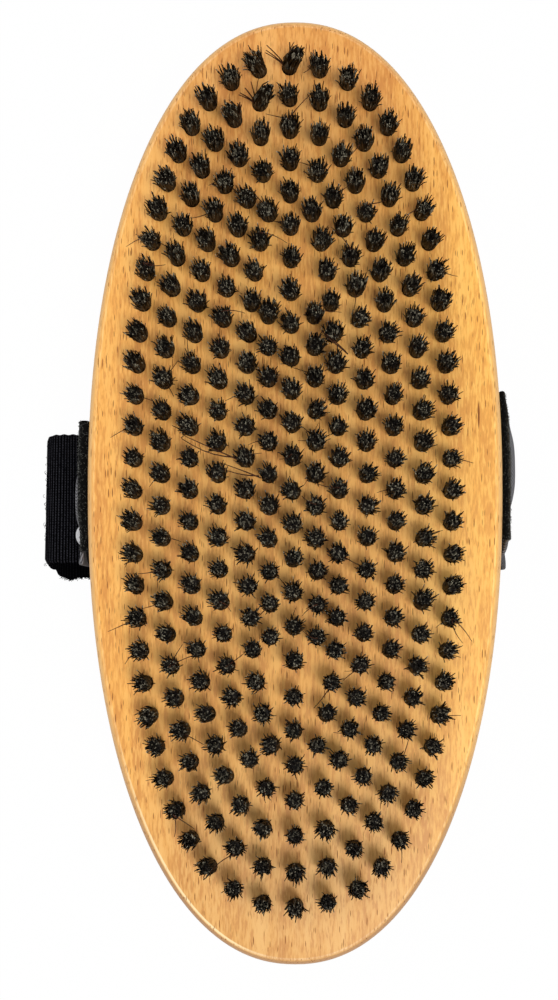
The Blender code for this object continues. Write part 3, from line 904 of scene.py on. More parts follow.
@dataclass
class TuftPattern:
    """Places of the tufts: closed rings, two straight columns with bridging tufts, and a centre row."""

    pitch_long: float = 0.00695
    centre_line_tufts: int = 26
    ring_count: int = 5
    ring_power: float = 2.45
    outer_half_width: float = 0.0327
    ring_step_wide: float = 0.005775
    outer_ring_tufts: int = 62
    fewer_per_ring: int = 6
    column_offset: float = 0.0048
    column_pitch: float = 0.00665
    column_tufts: int = 11
    bridge_tufts: int = 3
    shift_wide: float = -0.0005
    shift_long: float = 0.00125
    bow: float = 0.0023
    taper: float = 0.41
    lean: float = 0.0074

    def drawn(self, place: Vector) -> Vector:
        """Place on the hand-drilled field, which bows, tapers and leans a little off the even pattern.

        Args:
            place: Place on the even pattern.

        Returns:
            Where the hole is.
        """
        along = 1.0 - (place.y / self.half_length(0)) ** 2
        return Vector((
            place.x * (1.0 - self.taper * place.y) - self.lean * place.y + self.shift_wide,
            place.y + self.bow * along + self.shift_long,
        ))

    def half_length(self, ring: int) -> float:
        """Half-length of a ring."""
        return self.pitch_long * ((self.centre_line_tufts - 1) / 2 - ring)

    @staticmethod
    def row(count: int, pitch: float, wide: float) -> list[Vector]:
        """Even row of places along Y, at a place along X."""
        return [Vector((wide, (index - (count - 1) / 2) * pitch)) for index in range(count)]

    def groups(self) -> dict[str, list[Vector]]:
        """Group the tufts.

        Returns:
            Places of the tufts, by the CAD node that they belong to.
        """
        groups = {}
        for ring in range(self.ring_count):
            half_width = self.outer_half_width - self.ring_step_wide * ring
            count = self.outer_ring_tufts - self.fewer_per_ring * ring
            places = even_points(half_width, self.half_length(ring), self.ring_power, count)
            groups[f"tuft_ring_{ring + 1}"] = places
        columns = []
        for side in (-1, 1):
            columns += self.row(self.column_tufts, self.column_pitch, side * self.column_offset)
        for end in (-1, 1):
            rings = range(self.ring_count, self.ring_count + self.bridge_tufts)
            columns += [Vector((0.0, end * self.half_length(ring))) for ring in rings]
        groups[f"tuft_ring_{self.ring_count + 1}"] = columns
        centre = self.centre_line_tufts - 2 * (self.ring_count + self.bridge_tufts)
        groups["tuft_centre_row"] = self.row(centre, self.pitch_long, 0.0)
        return {name: [self.drawn(place) for place in places] for name, places in groups.items()}


@dataclass
class WoodenBlock:
    """Face board with its drilled holes, and the domed back board."""

    maker: Maker
    pattern: TuftPattern
    power: float = 2.17
    sides: int = 192
    rim: tuple[Pair, ...] = (
        (0.0, 0.0023), (0.00009, 0.0018), (0.00027, 0.0013), (0.0005, 0.00085), (0.00075, 0.00052),
        (0.00105, 0.00028), (0.00145, 0.00008), (0.0019, 0.0),
    )
    seam_radius: float = 0.00012
    dome_height: float = 0.0055
    dome_inset: float = 0.036
    dome_power: float = 2.3
    dome_steps: int = 12
    hole_radius: float = 0.00165
    hole_sides: int = 14
    drill_past: float = 0.001

    def __post_init__(self) -> None:
        """Read the boards' sizes from the frame."""
        low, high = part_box("face_board")
        self.half_width = high.x
        self.half_length = high.y
        self.face = high.z
        self.seam = low.z
        back_low, back_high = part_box("back_board")
        self.back_low = back_low.z
        self.back_high = back_high.z

    def recess(self, along: float) -> float:
        """How far the block's side stands back from its widest place, at a place along Y."""
        share = 1.0 - min(1.0, abs(along) / self.half_length) ** self.power
        return self.half_width * (1.0 - share ** (1.0 / self.power))

    def loft(self, levels: Sequence[Pair]) -> bmesh.types.BMesh:
        """Oval solid through levels.

        Args:
            levels: Insets from the outline, with their heights, from one end to the other.

        Returns:
            The closed shape.
        """
        bm = bmesh.new()
        step_of = bm.verts.layers.int.new("step")
        bmesh.ops.create_circle(bm, cap_ends=True, segments=self.sides, radius=self.half_width)
        ring = list(bm.verts)
        for index, vert in enumerate(ring):
            vert[step_of] = index
        cap = bm.faces[:]
        for number, (inset, height) in enumerate(levels):
            if number:
                ring, cap = extrude(bm, cap)
            for vert in ring:
                angle = math.tau * vert[step_of] / self.sides
                place = oval_point(self.half_width - inset, self.half_length - inset, self.power, angle)
                vert.co = (place.x, place.y, height)
        return bm

    def face_levels(self) -> list[Pair]:
        """Levels of the face board, from the glue line to the rounded rim."""
        levels = [(self.seam_radius, self.back_high), (0.0, self.back_high + self.seam_radius)]
        return levels + [(inset, self.face - drop) for inset, drop in self.rim]

    def back_levels(self) -> list[Pair]:
        """Work out the back board's levels.

        Returns:
            Insets with their heights, from the dome's middle up to the glue line.
        """
        levels = []
        power = 2 / self.dome_power
        for step in range(self.dome_steps, -1, -1):
            angle = math.pi / 2 * step / self.dome_steps
            levels.append((
                self.dome_inset * (1 - math.cos(angle) ** power),
                self.back_low + self.dome_height - self.dome_height * math.sin(angle) ** power,
            ))
        seam = self.back_high - WELD
        return levels + [(0.0, seam - self.seam_radius), (self.seam_radius, seam)]

    def drill(self, board: bpy.types.Object) -> None:
        """Cut a round hole for each tuft through the face board.

        Args:
            board: The face board, whose mesh is replaced.
        """
        bm = bmesh.new()
        low = self.seam - self.drill_past
        depth = self.face + self.drill_past - low
        for places in self.pattern.groups().values():
            for place in places:
                bmesh.ops.create_cone(
                    bm, cap_ends=True, segments=self.hole_sides, radius1=self.hole_radius,
                    radius2=self.hole_radius, depth=depth,
                    matrix=Matrix.Translation((place.x, place.y, low + depth / 2)),
                )
        drill = add_object("drill", mesh_from("drill", bm))
        cut = board.modifiers.new("drilled holes", "BOOLEAN")
        cut.object = drill
        cut.solver = "EXACT"
        bpy.context.view_layer.update()
        drilled = bpy.data.meshes.new_from_object(board.evaluated_get(bpy.context.evaluated_depsgraph_get()))
        board.modifiers.remove(cut)
        board.data = drilled
        smooth(drilled)
        bpy.data.objects.remove(drill)

    def build(self) -> None:
        """Make both boards."""
        face = self.maker.piece(
            "beech_face_board", self.loft(self.face_levels()), Slot.BEECH, ["face_board"], body=None
        )
        self.drill(face)
        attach(face, Body.BRUSH.value)
        self.maker.piece("beech_back_board", self.loft(self.back_levels()), Slot.BEECH, ["back_board"])


def heading(angle: float) -> Vector:
    """Level direction at an angle from +X."""
    return Vector((math.cos(angle), math.sin(angle), 0.0))


def grow_strand(
    bm: bmesh.types.BMesh, line: Callable[[float], Vector], radius: float, shares: Sequence[float],
    tip: float, turn: float,
) -> None:
    """Grow one strand that narrows along its last length.

    Args:
        bm: Mesh that takes the strand.
        line: Place of the strand's middle, from 0 at the root to 1 at the tip.
        radius: Radius at the root.
        shares: Shares of the way at which the strand's straight lengths end.
        tip: Radius at the tip, as a share of the root's.
        turn: Turn of its sides about it.
    """
    before = line(0.0)
    matrix = Matrix.Translation(before) @ Matrix.Rotation(turn, 4, "Z")
    ring = bmesh.ops.create_circle(bm, cap_ends=True, segments=STRAND_SIDES, radius=radius, matrix=matrix)
    cap = list({face for vert in ring["verts"] for face in vert.link_faces})
    for share in shares:
        verts, cap = extrude(bm, cap)
        here = line(share)
        for vert in verts:
            vert.co = here + (vert.co - before) * (1.0 if share < 1.0 else tip)
        before = here


def thread_shape(name: str, lines: Sequence[Thread]) -> bmesh.types.BMesh:
    """Thin four-sided threads.

    Args:
        name: Name for the shape.
        lines: For each thread, its points, each with the radius there.

    Returns:
        The closed threads.
    """
    curve = bpy.data.curves.new(name, "CURVE")
    curve.dimensions = "3D"
    curve.bevel_depth = 1.0
    curve.bevel_resolution = 0
    curve.use_fill_caps = True
    for line in lines:
        spline = curve.splines.new("POLY")
        spline.points.add(len(line) - 1)
        for point, (place, radius) in zip(spline.points, line):
            point.co = (*place, 1.0)
            point.radius = radius
    holder = add_object(name, curve)
    mesh = bpy.data.meshes.new_from_object(holder.evaluated_get(bpy.context.evaluated_depsgraph_get()))
    bpy.data.objects.remove(holder)
    bm = bmesh.new()
    bm.from_mesh(mesh)
    bpy.data.meshes.remove(mesh)
    bmesh.ops.remove_doubles(bm, verts=bm.verts, dist=WELD)
    return bm


@dataclass(frozen=True)
class Split:
    """A tuft that stands askew: its clump leans, and a few long hairs go another way."""

    place: Pair
    lean: Pair
    girth: float
    singles: tuple[Pair, ...]


@dataclass
class TuftField:
    """Tufts of horsehair: each a dark core and a bundle of pointed hairs in locks, with strays between."""

    maker: Maker
    pattern: TuftPattern
    face: float
    seed: int = 23
    height: float = 0.0114
    hairs: int = 116
    hair_turn: float = 0.3
    hair_spin: float = 2.0
    hair_radius: float = 0.00014
    hair_girth: Pair = (0.8, 1.15)
    hair_lengths: tuple[float, ...] = (0.45, 0.78, 1.0)
    hair_bend: float = 1.6
    tip_share: float = 0.7
    root_radius: float = 0.0016
    root_depth: float = 0.0008
    belly: float = 0.00025
    tip_radius: float = 0.00198
    tip_scatter: float = 0.00022
    tip_drop: float = 0.0004
    short_chance: float = 0.5
    short_drop: float = 0.0038
    locks: int = 22
    lock_turn: float = 0.25
    lock_pull: float = 0.35
    lock_scatter: float = 0.00015
    lock_drop: float = 0.0018
    lock_drop_power: float = 1.5
    outer_lock: float = 0.75
    outer_scatter: float = 0.0003
    messy_scatter: float = 0.0006
    flare_from: float = 0.72
    flare_chance: float = 0.35
    flare: Pair = (0.00015, 0.0005)
    flare_drop: float = 0.0042
    flare_drop_power: float = 2.0
    flare_bend: float = 3.0
    messy_flare: float = 1.5
    loose_chance: float = 0.02
    messy_loose: float = 0.06
    loose: Pair = (0.0005, 0.0013)
    loose_drop: Pair = (0.0003, 0.002)
    loose_bend: float = 2.2
    core_share: float = 0.62
    split_core: float = 0.2
    core_girth: Pair = (0.93, 0.84)
    core_sides: int = 10
    variants: int = 14
    messy_variants: int = 4
    messy_share: float = 0.12
    messy_gain: float = 1.6
    inward: float = 0.015
    lean: float = 0.02
    girth: Pair = (0.94, 1.06)
    tallness: Pair = (0.95, 1.0)
    stray_count: int = 84
    stray_radius: float = 0.00013
    stray_taper: float = 0.6
    stray_turn: float = 0.75
    stray_height: Pair = (0.3, 0.9)
    stray_reach: Pair = (0.002, 0.0065)
    stray_rise: Pair = (-0.003, 0.001)
    stray_curl: float = 0.0012
    long_strays: tuple[tuple[Pair, Pair], ...] = (
        ((-0.0121, 0.0065), (-0.0216, 0.0098)),
        ((-0.0072, 0.0027), (-0.0153, 0.0051)),
        ((0.0104, 0.0278), (0.0058, 0.0312)),
    )
    long_girth: float = 1.15
    long_offsets: Pair = (0.0, 0.0004)
    long_height: Pair = (0.72, 0.9)
    long_drop: float = 0.001
    long_scatter: float = 0.0006
    long_sway: float = 0.0005
    long_sag: float = 0.0003
    single_radius: float = 0.00019
    single_taper: float = 0.35
    single_root: float = 0.6
    single_bend: float = 1.3
    single_rise: Pair = (0.08, 0.9)
    split_reach: float = 0.002
    splits: tuple[Split, ...] = (
        Split(
            (-0.001, 0.0874), (0.0018, 0.0), 0.6,
            ((-0.0044, 0.0006), (-0.0046, -0.0009), (-0.0045, -0.0004), (0.0002, 0.0012)),
        ),
        Split((-0.0073, 0.0861), (-0.0014, -0.0008), 0.9, ((0.0001, 0.0012), (0.0007, 0.0009))),
        Split(
            (-0.0069, 0.0795), (0.0021, -0.0002), 0.62,
            ((-0.0014, 0.0008), (-0.0026, -0.0004), (-0.0038, -0.0018), (-0.0036, -0.0014)),
        ),
        Split((-0.0123, 0.0759), (-0.0008, -0.0006), 0.8, ((0.0019, -0.0004), (0.0016, 0.0001))),
    )

    def __post_init__(self) -> None:
        """Start the random draws."""
        self.rng = random.Random(self.seed)

    def lock_tips(self, messy: bool) -> list[Vector]:
        """Tips that a tuft's hairs gather towards.

        Args:
            messy: Whether the outer locks stand further out.

        Returns:
            The tips, with the tuft's axis on Z.
        """
        tips = []
        for index in range(self.locks):
            share = math.sqrt((index + 0.5) / self.locks)
            angle = index * GOLDEN_ANGLE + self.rng.uniform(-self.lock_turn, self.lock_turn)
            reach = self.tip_radius * share + self.rng.gauss(0.0, self.lock_scatter)
            if share > self.outer_lock:
                reach += abs(self.rng.gauss(0.0, self.messy_scatter if messy else self.outer_scatter))
            drop = self.rng.uniform(0.0, 1.0) ** self.lock_drop_power * self.lock_drop
            tips.append(Vector((reach * math.cos(angle), reach * math.sin(angle), self.height - drop)))
        return tips

    def grow_hair(
        self, bm: bmesh.types.BMesh, index: int, locks: Sequence[Vector], messy: bool, split: Split | None
    ) -> None:
        """Grow one hair of a tuft.

        Args:
            bm: Mesh that takes the hair.
            index: The hair's number, from the tuft's middle outwards.
            locks: Tips that the hairs gather towards.
            messy: Whether the tuft is a messy one.
            split: How the tuft stands askew, or None.
        """
        share = math.sqrt((index + 0.5) / self.hairs)
        outward = heading(index * GOLDEN_ANGLE + self.rng.uniform(-self.hair_turn, self.hair_turn))
        root = outward * (self.root_radius - self.hair_radius) * share
        own = outward * self.tip_radius * share
        lock = min(locks, key=lambda place: (place.xy - own.xy).length)
        tip = own.lerp(lock, self.lock_pull)
        tip.x += self.rng.gauss(0.0, self.tip_scatter)
        tip.y += self.rng.gauss(0.0, self.tip_scatter)
        tip.z = lock.z - abs(self.rng.gauss(0.0, self.tip_drop))
        if self.rng.random() < self.short_chance:
            tip.z -= self.rng.uniform(0.0, self.short_drop)
        bend = self.hair_bend
        if share > self.flare_from and self.rng.random() < self.flare_chance:
            tip += outward * self.rng.uniform(*self.flare) * (self.messy_flare if messy else 1.0)
            tip.z -= self.rng.uniform(0.0, 1.0) ** self.flare_drop_power * self.flare_drop
            bend = self.flare_bend
        elif self.rng.random() < (self.messy_loose if messy else self.loose_chance):
            tip += outward * self.rng.uniform(*self.loose)
            tip.z -= self.rng.uniform(*self.loose_drop)
            bend = self.loose_bend
        if split:
            tip = Vector((tip.x * split.girth, tip.y * split.girth, tip.z)) + Vector((*split.lean, 0.0))
        belly = outward * self.belly * share

        def line(along: float) -> Vector:
            """Place on the hair.

            Args:
                along: Share of the way from its root.

            Returns:
                The place of its middle.
            """
            place = root.lerp(Vector((tip.x, tip.y, 0.0)), along**bend) + belly * math.sin(math.pi * along)
            place.z = -self.root_depth + (tip.z + self.root_depth) * along
            return place

        radius = self.hair_radius * self.rng.uniform(*self.hair_girth)
        spin = self.rng.uniform(0.0, self.hair_spin)
        grow_strand(bm, line, radius, self.hair_lengths, self.tip_share, spin)

    def bundle(self, messy: bool, split: Split | None = None) -> bpy.types.Mesh:
        """One tuft at the origin, its hole's mouth at height zero.

        Args:
            messy: Whether some of its hairs stand far out.
            split: How it stands askew, or None.

        Returns:
            The tuft's mesh.
        """
        bm = bmesh.new()
        core_top = self.height * (self.split_core if split else self.core_share)
        foot, top = self.core_girth
        bmesh.ops.create_cone(
            bm, cap_ends=True, segments=self.core_sides, radius1=self.root_radius * foot,
            radius2=self.root_radius * top, depth=core_top + self.root_depth,
            matrix=Matrix.Translation((0.0, 0.0, (core_top - self.root_depth) / 2)),
        )
        locks = self.lock_tips(messy)
        for index in range(self.hairs):
            self.grow_hair(bm, index, locks, messy, split)
        return mesh_from("bundle", bm)

    def planted(self, place: Vector, bundles: Sequence[bpy.types.Mesh]) -> bpy.types.Mesh:
        """One tuft in its hole.

        Args:
            place: The hole's place.
            bundles: Tufts to take a copy of, the messy ones first.

        Returns:
            A mesh of its own: a split tuft, or a copy that leans, is turned and differs a little in size.
        """
        there = Matrix.Translation((place.x, place.y, self.face))
        for split in self.splits:
            if (Vector(split.place) - place).length < self.split_reach:
                mesh = self.bundle(False, split)
                mesh.transform(there)
                return mesh
        tidy = self.rng.random() > self.messy_share + place.y * self.messy_gain
        first, last = (self.messy_variants, self.variants) if tidy else (0, self.messy_variants)
        mesh = bundles[self.rng.randrange(first, last)].copy()
        nod = -place.y * self.inward / self.height
        sway = Matrix.Shear("XY", 4, (self.rng.gauss(0.0, self.lean), self.rng.gauss(nod, self.lean)))
        girth = self.rng.uniform(*self.girth)
        size = Matrix.Diagonal((girth, girth, self.rng.uniform(*self.tallness), 1.0))
        spin = Matrix.Rotation(self.rng.uniform(0.0, math.tau), 4, "Z")
        mesh.transform(there @ sway @ size @ spin)
        return mesh

    def build(self) -> None:
        """Make every group of tufts, and the strays."""
        bundles = [self.bundle(index < self.messy_variants) for index in range(self.variants)]
        for name, places in self.pattern.groups().items():
            bm = bmesh.new()
            for place in places:
                mesh = self.planted(place, bundles)
                bm.from_mesh(mesh)
                bpy.data.meshes.remove(mesh)
            self.maker.piece(
                f"hair_{name}", bm, Slot.HORSEHAIR, [name], smooth_degrees=None, recalculate=False
            )
        self.build_strays()

    def build_strays(self) -> None:
        """Single long hairs that leave a tuft and lie across towards its neighbours."""
        places = [place for group in self.pattern.groups().values() for place in group]
        lines = []
        for start, end in self.long_strays:
            lines += [self.long_stray(start, end, offset) for offset in self.long_offsets]
        lines += [self.stray(self.rng.choice(places)) for _ in range(self.stray_count)]
        for split in self.splits:
            place = min(places, key=lambda spot: (spot - Vector(split.place)).length)
            lines += [self.single(place, Vector(way)) for way in split.singles]
        self.maker.piece(
            "stray_hairs", thread_shape("strays", lines), Slot.HORSEHAIR, finish=self.maker.stray_hair,
            smooth_degrees=None,
        )

    def long_stray(self, start: Pair, end: Pair, offset: float) -> Thread:
        """Long hair that lies across from one tuft to another.

        Args:
            start: Place of its root.
            end: Place of its tip.
            offset: How far the root stands aside.

        Returns:
            Points along the hair, each with the radius there.
        """
        height = self.face + self.height * self.rng.uniform(*self.long_height)
        root = Vector((*start, height - self.long_drop)) + Vector((offset, -offset, 0.0))
        aside, along = (self.rng.gauss(0.0, self.long_scatter) for _ in range(2))
        tip = Vector((*end, height)) + Vector((aside, along, 0.0))
        sag = Vector((0.0, self.rng.gauss(0.0, self.long_sway), self.long_sag))
        return [
            (
                root.lerp(tip, share) + sag * math.sin(math.pi * share),
                self.stray_radius * (self.long_girth - self.stray_taper * share),
            )
            for share in EVEN_SHARES
        ]

    def stray(self, place: Vector) -> Thread:
        """Curled hair that leaves a tuft sideways.

        Args:
            place: The tuft's place.

        Returns:
            Points along the hair, each with the radius there.
        """
        out = heading(self.rng.gauss(0.0, self.stray_turn) + self.rng.choice((0.0, math.pi)))
        side = Vector((-out.y, out.x, 0.0))
        root = Vector((place.x, place.y, self.face + self.height * self.rng.uniform(*self.stray_height)))
        reach = self.rng.uniform(*self.stray_reach)
        rise = self.rng.uniform(*self.stray_rise)
        curl = self.rng.gauss(0.0, self.stray_curl)
        line = []
        for share in EVEN_SHARES:
            point = root + out * reach * share + side * curl * share * share
            point.z = min(self.face + self.height, root.z + rise * math.sin(share * math.pi / 2))
            line.append((point, self.stray_radius * (1.0 - self.stray_taper * share)))
        return line

    def single(self, place: Vector, way: Vector) -> Thread:
        """Thick single hair that leaves a split tuft's foot and rises to its own tip.

        Args:
            place: Middle of the tuft's foot.
            way: Where the tip stands, from there.

        Returns:
            Points along the hair, each with the radius there.
        """
        foot = place + way.normalized() * self.root_radius * self.single_root
        start, rise = self.single_rise
        line = []
        for share in EVEN_SHARES:
            spot = foot.lerp(place + way, share**self.single_bend)
            height = self.face + self.height * (start + rise * share)
            line.append((Vector((*spot, height)), self.single_radius * (1.0 - self.single_taper * share)))
        return line


def rounded_route(corners: Sequence[Triple], spacing: float) -> list[Vector]:
    """Route through corners with round bends.

    Args:
        corners: X, Z and bend radius of each corner.
        spacing: Longest step along the route.

    Returns:
        Points in the XZ plane, as pairs.
    """
    places = [Vector((x, z)) for x, z, _ in corners]
    route = [places[0]]
    for index in range(1, len(corners)):
        corner = places[index]
        radius = corners[index][2]
        arriving = (corner - places[index - 1]).normalized()
        run_end = corner
        turn = 0.0
        if index < len(corners) - 1:
            leaving = (places[index + 1] - corner).normalized()
            turn = arriving.angle_signed(leaving)
            run_end = corner - arriving * radius * math.tan(abs(turn) / 2)
        run_start = route[-1].copy()
        run = (run_end - run_start).length
        if run > WELD:
            pieces = max(1, math.ceil(run / spacing))
            route += [run_start.lerp(run_end, (k + 1) / pieces) for k in range(pieces)]
        if turn:
            centre = run_end + Vector((arriving.y, -arriving.x)) * math.copysign(radius, turn)
            spoke = run_end - centre
            steps = max(BEND_STEPS, math.ceil(abs(turn) * radius / spacing))
            for k in range(1, steps + 1):
                angle = -turn * k / steps
                route.append(centre + Vector((
                    spoke.x * math.cos(angle) - spoke.y * math.sin(angle),
                    spoke.x * math.sin(angle) + spoke.y * math.cos(angle),
                )))
    return route


@dataclass
class Band:
    """Woven band swept along a route in the XZ plane, with its width along Y and rounded edges.

    Its five functions move its points: shift sideways by place and length, push along X by place and place
    across, swell off its middle surface by length and place across, narrow by length and total length, and
    trim its lower edge by place.
    """

    route: list[Vector]
    width: float
    thickness: float
    columns: int = 20
    edge_steps: int = 4
    shift: Callable[[Vector, float], float] = lambda place, length: 0.0
    push: Callable[[Vector, float], float] = lambda place, across: 0.0
    swell: Callable[[float, float], float] = lambda length, across: 0.0
    narrow: Callable[[float, float], float] = lambda length, total: 0.0
    trim: Callable[[Vector], float] = lambda place: 0.0

    def section(self) -> list[Pair]:
        """Work out the closed section.

        Returns:
            Distances across from the middle, with distances off the band's middle surface.
        """
        radius = self.thickness / 2
        flat = self.width / 2 - radius
        points = []
        for side in (1, -1):
            for k in range(self.columns + 1):
                points.append((side * flat * (2.0 * k / self.columns - 1.0), side * radius))
            for k in range(1, self.edge_steps):
                angle = math.pi * k / self.edge_steps
                points.append((side * (flat + radius * math.sin(angle)), side * radius * math.cos(angle)))
        return points

    def shape(self) -> bmesh.types.BMesh:
        """Make the band.

        Returns:
            The closed band, with lengths along and across it in metres as its UV map.
        """
        section = self.section()
        lengths = running_lengths(self.route)
        around = [0.0]
        for start, end in zip(section, section[1:] + section[:1]):
            around.append(around[-1] + math.dist(start, end))
        rows = len(self.route) - 1
        bm = bmesh.new()
        bmesh.ops.create_grid(bm, x_segments=rows, y_segments=len(section), size=0.5)
        chart = {}
        for vert in bm.verts:
            row = round((vert.co.x + 0.5) * rows)
            column = round((vert.co.y + 0.5) * len(section))
            across, off = section[column % len(section)]
            place = self.route[row]
            tangent = (self.route[min(row + 1, rows)] - self.route[max(row - 1, 0)]).normalized()
            normal = Vector((-tangent.y, tangent.x))
            across *= 1.0 - self.narrow(lengths[row], lengths[-1]) / (self.width / 2)
            across += self.trim(place) * (0.5 - across / self.width)
            off += math.copysign(self.swell(lengths[row], across), off) if abs(off) > WELD else 0.0
            middle = self.shift(place, lengths[row]) + across
            spot = place + normal * off
            vert.co = (spot.x + self.push(place, middle), middle, spot.y)
            chart[vert.index] = (lengths[row], around[column])
        uv = bm.loops.layers.uv.new("weave")
        for face in bm.faces:
            for loop in face.loops:
                loop[uv].uv = chart[loop.vert.index]
        bmesh.ops.remove_doubles(bm, verts=bm.verts, dist=WELD / 4)
        bmesh.ops.holes_fill(bm, edges=[edge for edge in bm.edges if edge.is_boundary], sides=0)
        return bm


def ease(value: float) -> float:
    """Ease from 0 to 1, flat at both ends."""
    value = min(1.0, max(0.0, value))
    return value * value * (3.0 - 2.0 * value)


def ramp(value: float, start: float, reach: float) -> float:
    """Ease from 0 at the start to 1 a reach further on."""
    return ease((value - start) / reach)


def corner_inset(radius: float, reach: float) -> float:
    """How far a rounded corner's edge stands in, a reach from the corner's end."""
    return radius - math.sqrt(radius**2 - (radius - reach) ** 2) if reach < radius else 0.0


def tape_plate(low: Vector, high: Vector, corner: float) -> bmesh.types.BMesh:
    """Flat tape with rounded corners at its +X end.

    Args:
        low: Lowest corner.
        high: Highest corner.
        corner: Radius of the two rounded corners.

    Returns:
        The closed plate, with a narrow bevel round its faces.
    """
    bm = bmesh.new()
    middle = (low + high) / 2
    size = high - low
    matrix = Matrix.Translation(middle) @ Matrix.Diagonal((*size, 1.0))
    bmesh.ops.create_cube(bm, size=1.0, matrix=matrix)
    how = {"offset_type": "OFFSET", "profile": 0.5, "affect": "EDGES", "material": -1}
    if corner:
        uprights = [
            edge for edge in bm.edges
            if all(vert.co.x > middle.x for vert in edge.verts)
            and abs(edge.verts[0].co.z - edge.verts[1].co.z) > size.z / 2
        ]
        bmesh.ops.bevel(bm, geom=uprights, offset=corner, segments=TAPE_CORNER_STEPS, **how)
    rims = [edge for edge in bm.edges if abs(edge.verts[0].co.z - edge.verts[1].co.z) < WELD]
    bmesh.ops.bevel(bm, geom=rims, offset=size.z * TAPE_BEVEL, segments=TAPE_RIM_STEPS, **how)
    return bm


